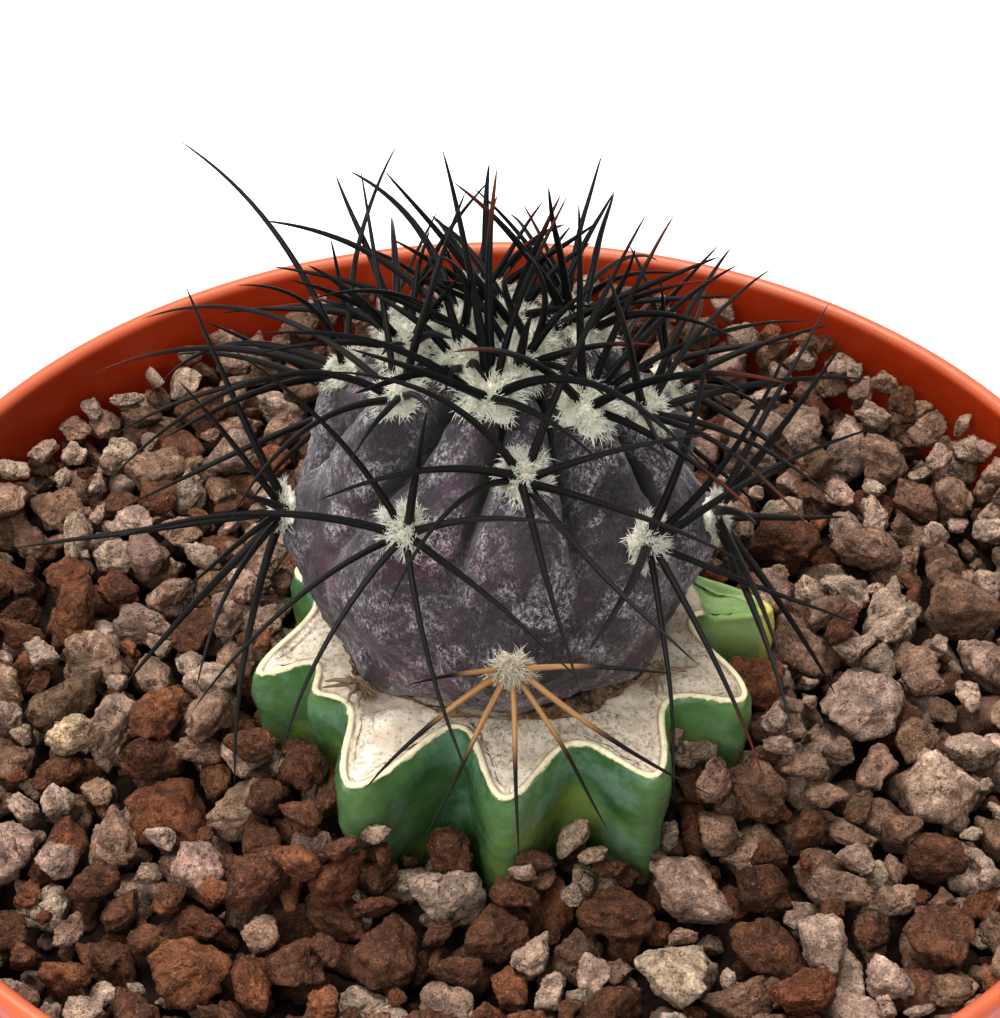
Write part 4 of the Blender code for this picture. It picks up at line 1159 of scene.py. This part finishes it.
def globe_finish():
    """Grey-violet skin with magenta patches, green creases darkened by painted shade, and a mealy, fibrous
    white bloom.
    """
    finish = Finish("globe_skin", Subsurface_Weight=0.05, Subsurface_Scale=0.001, IOR=1.4,
                    Specular_IOR_Level=0.35, Sheen_Weight=0.15, Sheen_Roughness=0.5)
    place = finish.place()
    crease = finish.value("crease")
    height = finish.value("latitude")
    broad = finish.noise(place, 95.0, 4.0, 0.6, 0.4)
    skin = finish.mix(finish.ramp(broad, 0.38, 0.62), GLOBE_DARK, GLOBE_PLUM)
    magenta = finish.ramp(finish.noise(place, 170.0, 4.0, 0.6), 0.53, 0.68)
    skin = finish.mix(finish.times(magenta, 0.6), skin, GLOBE_MAGENTA)
    green = finish.times(finish.ramp(crease, 0.3, 0.9), finish.ramp(height, 20.0, 50.0))
    skin = finish.mix(finish.times(green, 0.85), skin, GLOBE_GREEN)
    # Painted shade: the furrows are darkened towards near black, by up to half.
    skin = finish.mix(finish.times(finish.ramp(crease, 0.3, 1.0), 0.5), skin, GLOBE_CREASE_SHADE)
    drift = finish.noise(place, 190.0, 6.0, 0.72, 0.8)
    thread = finish.noise(finish.stretch(place, (1.0, 1.0, 0.6)), 3900.0, 5.0, 0.8, 0.7)
    rubbed = finish.ramp(drift, 0.44, 0.64, 0.05, 1.0)
    rubbed = finish.times(rubbed, finish.ramp(crease, 0.35, 0.95, 1.0, 0.35))
    bloom = finish.times(finish.ramp(thread, 0.45, 0.60), rubbed)
    veil = finish.times(finish.ramp(finish.noise(place, 60.0, 3.0, 0.6), 0.4, 0.6), 0.12)
    skin = finish.mix(veil, skin, GLOBE_VEIL)
    colour = finish.mix(finish.times(bloom, 0.8), skin, GLOBE_BLOOM)
    grain = finish.group(SPECKLE, Place=place, Grain_Scale=4200.0, Pit_Scale=3600.0)
    flecks = finish.times(grain["Flecks"], finish.times(rubbed, 0.75))
    colour = finish.mix(flecks, colour, GLOBE_FLECKS)
    colour = finish.mix(finish.times(grain["Pits"], 0.35), colour, GLOBE_PITS)
    rough = finish.ramp(bloom, 0.0, 1.0, 0.48, 0.85)
    folds = finish.bump(finish.noise(place, 420.0, 5.0, 0.6, 0.5), 0.5, 0.0006)
    return finish.finish(colour, rough, finish.bump(thread, 0.5, 0.00014, folds))


def make_globe():
    centre = globe_centre()
    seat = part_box("pot")[1].z + CUT_ABOVE_RIM + SEAT_GAP
    lowest = math.degrees(math.asin((seat - centre[2]) / GLOBE_RADIUS))
    latitudes = np.linspace(lowest, 89.2, GLOBE_ROWS)
    azimuths, places = globe_grid(latitudes)
    grid_lat = np.repeat(latitudes[:, None], azimuths.shape[1], axis=1)
    radius, crease = globe_radius(grid_lat, azimuths, places)
    directions = outward(grid_lat, azimuths)
    flat_directions = directions.reshape(-1, 3)
    wrinkles = 0.10 * MM * ripples(flat_directions, 0.30, 51, 4)
    wrinkles = wrinkles + 0.05 * MM * ripples(flat_directions, 0.09, 52, 2)
    radius = radius + wrinkles.reshape(radius.shape)
    points = centre + directions * radius[..., None]
    tuck = smoothstep((grid_lat - lowest) / 9.0)
    points[..., :2] = centre[:2] + (points[..., :2] - centre[:2]) * (0.95 + 0.05 * tuck)[..., None]
    points[..., 2] = np.maximum(points[..., 2], seat)
    points[0, :, 2] = seat
    mesh = quick_mesh("globe", points.reshape(-1, 3), grid_faces(*azimuths.shape))
    set_values(mesh, "crease", crease.ravel())
    set_values(mesh, "latitude", grid_lat.ravel())
    make_piece("globe", mesh, globe_finish(), ["scion"])


# Where the healed tissue swells at the foot of the globe: azimuth, half width in degrees and height in mm.
CALLUS_SWELLINGS = ((-54, 14, 1.0), (-18, 6, 0.3), (34, 20, 1.1), (60, 8, 0.8), (84, 10, 0.6), (150, 24, 1.0),
                    (232, 20, 0.9))
CALLUS_BROWN = (0.21, 0.135, 0.08, 1.0)
CALLUS_FLAKES, CALLUS_PITS = (0.66, 0.54, 0.38), (0.045, 0.028, 0.018)


def callus_finish():
    """Dry brown healed tissue, flaky and paler on its ridges."""
    finish = Finish("dry_callus", Specular_IOR_Level=0.25)
    place = finish.place()
    base = finish.group(MOTTLE, Colour=CALLUS_BROWN, Place=place, Scale=600.0, Dark=0.25, Light=1.6)
    grain = finish.group(SPECKLE, Place=place, Grain_Scale=1900.0, Pit_Scale=2600.0)
    colour = finish.mix(finish.times(grain["Flecks"], 0.5), base["Colour"], CALLUS_FLAKES)
    colour = finish.mix(finish.times(grain["Pits"], 0.5), colour, CALLUS_PITS)
    return finish.finish(colour, finish.ramp(base["Patches"], 0.3, 0.7, 0.75, 0.95),
                         finish.bump(grain["Height"], 0.9, 0.0003))


def make_callus():
    """Uneven ring of healed tissue where the globe has grown onto the cut."""
    centre = globe_centre()
    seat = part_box("pot")[1].z + CUT_ABOVE_RIM
    radius = math.sqrt(GLOBE_RADIUS ** 2 - (centre[2] - seat) ** 2)
    azimuths = np.linspace(-180, 180, 480, endpoint=False)
    swell = 0.04
    swell += sum(height * np.exp(-((azimuths - azimuth + 180) % 360 - 180) ** 2 / width ** 2)
                 for azimuth, width, height in CALLUS_SWELLINGS)
    rings = []
    for turn in np.linspace(0, 2 * math.pi, 20, endpoint=False):
        out = 0.1 + 0.95 * swell * math.cos(turn)
        up = 0.1 + 0.95 * swell * math.sin(turn)
        rings.append(np.stack([out, np.maximum(up, -0.3)], axis=-1))
    rings = np.array(rings + rings[:1])
    angle = np.radians(azimuths)
    lumps = np.stack([np.sin(angle), -np.cos(angle)], axis=-1)
    points = np.empty((*rings.shape[:2], 3))
    points[..., 0] = centre[0] + lumps[:, 0] * (radius + rings[..., 0] * MM)
    points[..., 1] = centre[1] + lumps[:, 1] * (radius + rings[..., 0] * MM)
    points[..., 2] = seat + rings[..., 1] * MM
    points = points[:-1].reshape(-1, 3)
    away = np.tile(np.column_stack([lumps, np.ones(len(lumps))]), (len(rings) - 1, 1))
    bumps = 0.30 * ripples(points, 2.2 * MM, 61, 3) + 0.16 * ripples(points, 0.8 * MM, 62, 3)
    points += away * (bumps * np.tile(np.sqrt(swell), len(rings) - 1) * MM)[:, None]
    faces = grid_faces(len(rings), len(azimuths)) % len(points)
    mesh = quick_mesh("graft_callus", points, faces[:, ::-1])
    make_piece("graft_callus", mesh, callus_finish())


# Spines and wool ------------------------------------------------------------------------------------

SPINE_SIDES, SPINE_STEPS = 12, 20
SPINE_THICKNESS = {"crown": 0.35 * MM, "shoulder": 0.30 * MM, "waist": 0.33 * MM}
# Rise of the middle over the straight line from end to end, as a share of the length.
SPINE_BOW = {"crown": (0.0, 0.12), "shoulder": (0.02, 0.13), "waist": (0.0, 0.07)}
# How grey and streaky each row's spines are: partly age, and partly painted highlight that stands in for
# glints along the spines.
SPINE_AGE_AND_HIGHLIGHT = {"crown": 0.1, "shoulder": 0.6, "waist": 1.0}
# How far up from the base each areole's spines stay tan, from 0 to 1.
AMBER_AREOLES = {"waist_spines_1": 0.68, "waist_spines_3": 0.1, "waist_spines_9": 0.08}
AMBER_SPINE_GIRTH = 0.78
# Areoles down on the cut, whose spines have died back to thin stubs.
OLD_AREOLES = tuple(f"waist_spines_{k}" for k in (2, 4, 6, 8, 10))
OLD_SPINE_SHARE = 0.32
OLD_SPINE_GIRTH = 0.6
OLD_SPINE_WEAR = 2.0
RED_TIP_SHARE = 0.16

CREAM = (1.0, 0.92, 0.76)
YELLOW_WOOL = (1.0, 0.94, 0.76)
OLD_WOOL = (0.30, 0.21, 0.13)
WOOL_ROOT, WOOL_SHADE = (0.30, 0.21, 0.12), (0.42, 0.36, 0.24)
# Wool of each areole: (fibres, radius of the patch in mm, colour). Others take their row's entry.
ROW_WOOL = {"crown": (1080, 2.5, YELLOW_WOOL), "shoulder": (1000, 1.85, CREAM), "waist": (800, 1.75, CREAM)}
AREOLE_WOOL = {
    "waist_spines_1": (600, 1.6, (0.86, 0.74, 0.56)),
    "shoulder_spines_3": (800, 2.1, YELLOW_WOOL),
    "shoulder_spines_9": (800, 2.1, YELLOW_WOOL),
    "shoulder_spines_8": (700, 1.9, YELLOW_WOOL),
    **{name: (240, 1.0, OLD_WOOL) for name in OLD_AREOLES},
}
# Height of the wool as a share of its reach, and how much lower and narrower its felted pad is.
WOOL_HEIGHT = 0.5
PAD_HEIGHT_SHARE = 0.85
PAD_REACH_SHARE = 0.84
FIBRE_RADIUS = 0.036 * MM
FIBRE_LENGTHS = (0.35, 0.85)
FIBRE_SIDES = 3


class Areole:
    """Pad and spines of one CAD cluster: each spine as its start and two vectors of a smooth bend."""

    def __init__(self, name):
        bm = bmesh.new()
        bm.from_mesh(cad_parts[name].data)
        bmesh.ops.remove_doubles(bm, verts=bm.verts, dist=1e-6)
        self.name = name
        self.spines = []
        grown = set()
        for tip in [v for v in bm.verts if len(v.link_edges) == 3]:
            layers = [{tip}]
            for _ in range(3):
                near = {e.other_vert(v) for v in layers[-1] for e in v.link_edges}
                layers.append(near - layers[-1] - (layers[-2] if len(layers) > 1 else set()))
            if len(layers[1]) != 3 or len(layers[2]) != 3:
                continue
            grown |= layers[0] | layers[1] | layers[2]
            start = self.middle(layers[3] if len(layers[3]) == 3 else layers[2])
            shares = np.array([0.1, 0.55, 1.0])
            bends = np.stack([self.middle(layers[2]), self.middle(layers[1]), np.array(tip.co)]) - start
            terms = np.stack([shares, shares ** 2], axis=1)
            line, curve = np.linalg.lstsq(terms, bends, rcond=None)[0]
            self.spines.append((start, line, curve))
        pad = [np.array(v.co) for v in bm.verts if v not in grown]
        self.centre = np.mean(pad, axis=0)
        bm.free()
        away = self.centre - globe_centre()
        self.normal = away / np.linalg.norm(away)

    def middle(self, verts):
        return np.mean([np.array(v.co) for v in verts], axis=0)


def bowed(line, curve, amount):
    """The same spine with its middle raised, so that it arches between the same two ends."""
    chord = line + curve
    length = np.linalg.norm(chord)
    lift = np.array([0, 0, 1.0]) - chord * chord[2] / length ** 2
    lift *= 4 * amount * length * np.linalg.norm(lift)
    return line + lift, curve - lift


def needle(start, line, curve, thickness, seed):
    """Points of one curved spine: a swollen base, a long taper and a closed sharp tip."""
    sides, steps = SPINE_SIDES, SPINE_STEPS
    rng = np.random.default_rng(seed)
    share = np.linspace(0, 1, steps) ** 1.15
    path = start + share[:, None] * line + (share ** 2)[:, None] * curve
    along = line + 2 * share[:, None] * curve
    along /= np.linalg.norm(along, axis=1, keepdims=True)
    across = np.cross(line, curve)
    if np.linalg.norm(across) < 1e-9:
        across = np.cross(line, (0.3, 0.5, 0.8))
    first = across / np.linalg.norm(across) + np.zeros_like(along)
    second = np.cross(along, first)
    phase = rng.uniform(0, 2 * math.pi, 2)
    sway = 0.07 * MM * np.sin(share * rng.uniform(4, 8) + phase[0]) * share * (1 - share) * 4
    path = path + first * sway[:, None]
    radius = thickness * ((1 - share) ** 0.6 * 0.97 + 0.03) * (1 + 0.3 * np.exp(-(share / 0.035) ** 2))
    radius[-1] = 0.008 * MM
    turn = np.linspace(0, 2 * math.pi, sides, endpoint=False)
    flute = 1 + 0.05 * np.sin(3 * turn + phase[1])
    spokes = first[:, None] * np.cos(turn)[:, None] + second[:, None] * np.sin(turn)[:, None]
    rings = path[:, None] + spokes * radius[:, None, None] * flute[:, None]
    grain = np.stack([np.tile(np.cos(turn), (steps, 1)), np.tile(np.sin(turn), (steps, 1)),
                      np.repeat(share[:, None] * 0.7 + rng.uniform(0, 50), sides, axis=1)], axis=-1)
    return rings.reshape(-1, 3), np.repeat(share, sides), grain.reshape(-1, 3)


SPINE_BLACK, SPINE_SOOT = (0.0025, 0.0027, 0.003), (0.011, 0.011, 0.0105)
# Grey streaks on the spines: partly age, and partly painted highlight.
AGE_AND_HIGHLIGHT_DARK, AGE_AND_HIGHLIGHT_GREY = (0.008, 0.0075, 0.007), (0.050, 0.044, 0.038)
DEAD_BROWN = (0.21, 0.155, 0.105)
SPINE_TAN, SPINE_BROWN = (0.43, 0.25, 0.11), (0.20, 0.095, 0.040)
SPINE_RED = (0.13, 0.025, 0.012)


def spine_finish():
    """Hard black spine with fine lengthwise grain, grey streaks that are partly age and partly painted
    highlight, tan at its base, some tips red.
    """
    finish = Finish("black_spine", IOR=1.45, Specular_IOR_Level=0.11)
    along = finish.value("along")
    wear = finish.value("wear")
    streaks = finish.noise(finish.stretch(finish.vector("grain"), (2.2, 2.2, 1.0)), 3.0, 4.0, 0.6)
    black = finish.mix(finish.ramp(streaks, 0.36, 0.68), SPINE_BLACK, SPINE_SOOT)
    grey = finish.mix(finish.ramp(streaks, 0.4, 0.7), AGE_AND_HIGHLIGHT_DARK, AGE_AND_HIGHLIGHT_GREY)
    # Painted highlight and age: grey streaks are mixed into the black, most on the waist and least on the
    # crown.
    black = finish.mix(finish.math("MULTIPLY", wear, 1.0, True), black, grey)
    black = finish.mix(finish.ramp(wear, 1.2, 1.8), black, DEAD_BROWN)
    tan = finish.mix(finish.ramp(streaks, 0.35, 0.7), SPINE_TAN, SPINE_BROWN)
    reach = finish.math("SUBTRACT", finish.times(finish.value("amber"), 0.75), along)
    colour = finish.mix(finish.ramp(reach, -0.02, 0.2), black, tan)
    red = finish.times(finish.value("red_tip"), finish.ramp(along, 0.6, 0.95))
    colour = finish.mix(finish.times(red, 0.7), colour, SPINE_RED)
    rough = finish.ramp(streaks, 0.3, 0.7, 0.34, 0.55)
    return finish.finish(colour, rough, finish.bump(streaks, 0.25, 0.00008))


def grow_spine(row, areole, k):
    """Points and stored values of one spine, with its own bow, thickness, and share of grey age and painted
    highlight.
    """
    old = areole.name in OLD_AREOLES
    seed = 1000 * ROW_NAMES.index(row) + 10 * int(areole.name.rsplit("_", 1)[1]) + k
    rng = np.random.default_rng(seed)
    start, line, curve = areole.spines[k]
    if old:
        line, curve = line * OLD_SPINE_SHARE, curve * OLD_SPINE_SHARE ** 2
    line, curve = bowed(line, curve, rng.uniform(*SPINE_BOW[row]))
    amber = AMBER_AREOLES.get(areole.name, 0.03)
    thickness = SPINE_THICKNESS[row] * rng.uniform(0.82, 1.15)
    thickness *= OLD_SPINE_GIRTH if old else 1.0
    thickness *= AMBER_SPINE_GIRTH if amber > 0.5 else 1.0
    body, along, grain = needle(start - line * 0.02, line * 1.02, curve, thickness, seed)
    red_tip = float(rng.uniform() < RED_TIP_SHARE)
    # Amount of grey streaks, partly age and partly painted highlight. Old stubs go dead brown.
    wear = OLD_SPINE_WEAR if old else SPINE_AGE_AND_HIGHLIGHT[row] * rng.uniform(0.5, 1.0)
    values = {"along": along, "grain": grain}
    values.update({name: np.full(len(body), value)
                   for name, value in (("amber", amber), ("red_tip", red_tip), ("wear", wear))})
    return body, values


def make_spines(areoles):
    finish = spine_finish()
    one_spine = grid_faces(SPINE_STEPS, SPINE_SIDES)
    for row in ROW_NAMES:
        grown = [(areole, k) for areole in areoles if areole.name.startswith(row)
                 for k in range(len(areole.spines))]
        spines = [grow_spine(row, areole, k) for areole, k in grown]
        size = SPINE_STEPS * SPINE_SIDES
        faces = np.concatenate([one_spine + size * place for place in range(len(spines))])
        mesh = quick_mesh(f"{row}_spines", np.concatenate([body for body, _ in spines]), faces)
        for name in spines[0][1]:
            set_values(mesh, name, np.concatenate([values[name] for _, values in spines]))
        names = [areole.name for areole in areoles if areole.name.startswith(row)]
        make_piece(f"{row}_spines", mesh, finish, names)


def wool_finish():
    """Soft cream wool, a little darker at its roots."""
    finish = Finish("areole_wool", Roughness=1.0, Specular_IOR_Level=0.1, Sheen_Weight=0.15,
                    Sheen_Roughness=0.5, Subsurface_Weight=0.3, Subsurface_Scale=0.0009)
    place = finish.place()
    tint = finish.node("Attribute", attribute_name="tint").outputs["Color"]
    mottled = finish.group(MOTTLE, Colour=tint, Place=place, Scale=1500.0, Dark=0.92, Light=1.1)
    root = finish.times(finish.ramp(finish.value("along"), 0.0, 0.4, 1.0, 0.0), 0.06)
    colour = finish.mix(root, mottled["Colour"], WOOL_ROOT)
    felt = finish.noise(place, 5200.0, 4.0, 0.75, 0.8)
    colour = finish.mix(finish.ramp(felt, 0.50, 0.34, 0.0, 0.15), colour, WOOL_SHADE)
    return finish.finish(colour, None, finish.bump(felt, 0.8, 0.00015))


def star(clock, phases):
    """Reach of the wool round its areole, from 0.7 to 1.1: it runs out in arms between the spines."""
    return 0.9 + 0.13 * np.sin(5 * clock + phases[0]) + 0.08 * np.sin(8 * clock + phases[1])


def skin_drop(away, normal):
    """How far the globe's skin falls away from the flat pad, at a distance from its middle."""
    return normal * (-0.5 * away ** 2 / GLOBE_RADIUS)[:, None]


def tuft(areole, up, side, phases, fibres, reach, colour, rng):
    """Short curved fibres standing over the patch and leaning outwards at its border."""
    clock = rng.uniform(0, 2 * math.pi, fibres)
    across = up * np.cos(clock)[:, None] + side * np.sin(clock)[:, None]
    ring = np.sqrt(rng.uniform(0, 1, fibres))
    away = ring * reach * MM * star(clock, phases)
    base = areole.centre + across * away[:, None] + skin_drop(away, areole.normal) - areole.normal * 0.35 * MM
    base += areole.normal * (WOOL_HEIGHT * reach * MM * np.sqrt(1 - 0.95 * ring ** 2))[:, None]
    lean = np.clip(0.2 + 1.25 * ring ** 2 + rng.normal(0, 0.3, fibres), 0, 1.6)
    aim = areole.normal * np.cos(lean)[:, None] + across * np.sin(lean)[:, None]
    aim += np.cross(areole.normal, across) * rng.normal(0, 0.35, fibres)[:, None]
    aim /= np.linalg.norm(aim, axis=1, keepdims=True)
    lengths = MM * rng.uniform(*FIBRE_LENGTHS, fibres) * (0.8 + 0.2 * ring)
    fall = across * np.cos(lean)[:, None] - areole.normal * np.sin(lean)[:, None]
    bend = rng.normal(0.35, 0.5, fibres)[:, None] * fall
    bend += np.cross(areole.normal, across) * rng.normal(0, 0.8, fibres)[:, None]
    share = np.array([0.0, 0.35, 0.7, 1.0])
    path = base[:, None] + lengths[:, None, None] * (
        share[:, None] * aim[:, None] + 0.5 * (share ** 2)[:, None] * bend[:, None])
    first = np.cross(aim, areole.normal + 0.2 * side)
    first /= np.linalg.norm(first, axis=1, keepdims=True)
    second = np.cross(aim, first)
    turn = np.arange(FIBRE_SIDES) * 2 * math.pi / FIBRE_SIDES
    spokes = first[:, None] * np.cos(turn)[:, None] + second[:, None] * np.sin(turn)[:, None]
    radius = FIBRE_RADIUS * np.array([1.0, 1.0, 0.8, 0.15])
    points = path[:, :, None] + spokes[:, None] * radius[:, None, None]
    size = len(share) * FIBRE_SIDES
    faces = grid_faces(len(share), FIBRE_SIDES)[None] + (np.arange(fibres) * size)[:, None, None]
    along = np.tile(np.repeat(share, FIBRE_SIDES), fibres)
    tints = np.repeat(np.array(colour)[None] * rng.uniform(0.78, 1.06, (fibres, 1)), size, axis=0)
    return points.reshape(-1, 3), faces.reshape(-1, 4), along, tints


def cushion(areole, up, side, phases, reach, colour, seed):
    """Felted body of the wool, a lumpy star-shaped pad that follows the skin."""
    flat, faces = ball(4)
    clock = np.arctan2(flat[:, 1], flat[:, 0])
    spread = reach * PAD_REACH_SHARE * star(clock, phases) * MM
    lumps = 1 + 0.10 * ripples(flat, 0.5, seed, 3)
    away = np.hypot(flat[:, 0], flat[:, 1]) * spread * lumps
    across = up * np.cos(clock)[:, None] + side * np.sin(clock)[:, None]
    points = areole.centre + across * away[:, None] + skin_drop(away, areole.normal)
    height = PAD_HEIGHT_SHARE * flat[:, 2] * WOOL_HEIGHT * reach * MM * lumps
    points += areole.normal * (height - 0.25 * MM)[:, None]
    return points, faces, np.full(len(points), 0.3), np.tile(np.array(colour) * 0.95, (len(points), 1))


def join(parts):
    """One set of points, faces, and values from several, with the faces renumbered."""
    counts = np.cumsum([0] + [len(part[0]) for part in parts[:-1]])
    faces = np.concatenate([part[1] + count for part, count in zip(parts, counts)])
    return np.concatenate([part[0] for part in parts]), faces, *(
        np.concatenate([part[k] for part in parts]) for k in (2, 3))


def make_wool(areoles):
    finish = wool_finish()
    for row in ROW_NAMES:
        tufts, cushions = [], []
        for index, areole in enumerate(areoles):
            if not areole.name.startswith(row):
                continue
            rng = np.random.default_rng(300 + index)
            up = np.array([0, 0, 1.0]) - areole.normal * areole.normal[2]
            up /= np.linalg.norm(up)
            side = np.cross(up, areole.normal)
            phases = rng.uniform(0, 2 * math.pi, 2)
            fibres, reach, colour = AREOLE_WOOL.get(areole.name, ROW_WOOL[row])
            tufts.append(tuft(areole, up, side, phases, fibres, reach, colour, rng))
            cushions.append(cushion(areole, up, side, phases, reach, colour, 700 + index))
        for name, parts in ((row + "_wool", tufts), (row + "_wool_pads", cushions)):
            points, faces, along, tints = join(parts)
            mesh = quick_mesh(name, points, faces)
            set_values(mesh, "along", along)
            set_values(mesh, "tint", tints)
            make_piece(name, mesh, finish)


# Assembly -------------------------------------------------------------------------------------------

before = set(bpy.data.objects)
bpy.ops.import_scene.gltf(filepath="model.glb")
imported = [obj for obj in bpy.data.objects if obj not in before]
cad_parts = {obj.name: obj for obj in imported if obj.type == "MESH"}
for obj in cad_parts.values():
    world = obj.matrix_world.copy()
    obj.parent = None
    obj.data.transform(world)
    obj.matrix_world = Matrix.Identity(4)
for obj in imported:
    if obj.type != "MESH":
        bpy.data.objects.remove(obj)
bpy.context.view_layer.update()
SPECKLE = make_speckle_group()
MOTTLE = make_mottle_group()

pot_low, pot_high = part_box("pot")
set_camera(Vector(((pot_low.x + pot_high.x) / 2, (pot_low.y + pot_high.y) / 2, pot_high.z)))
set_stage()
set_light()
make_pot()
make_gravel(make_stock_edge())
make_stock()
make_globe()
make_callus()
cluster_names = [f"{row}_spines_{k + 1}" for row in ROW_NAMES for k in range(len(RIB_AREOLES))]
all_areoles = [Areole(name) for name in cluster_names]
make_spines(all_areoles)
make_wool(all_areoles)
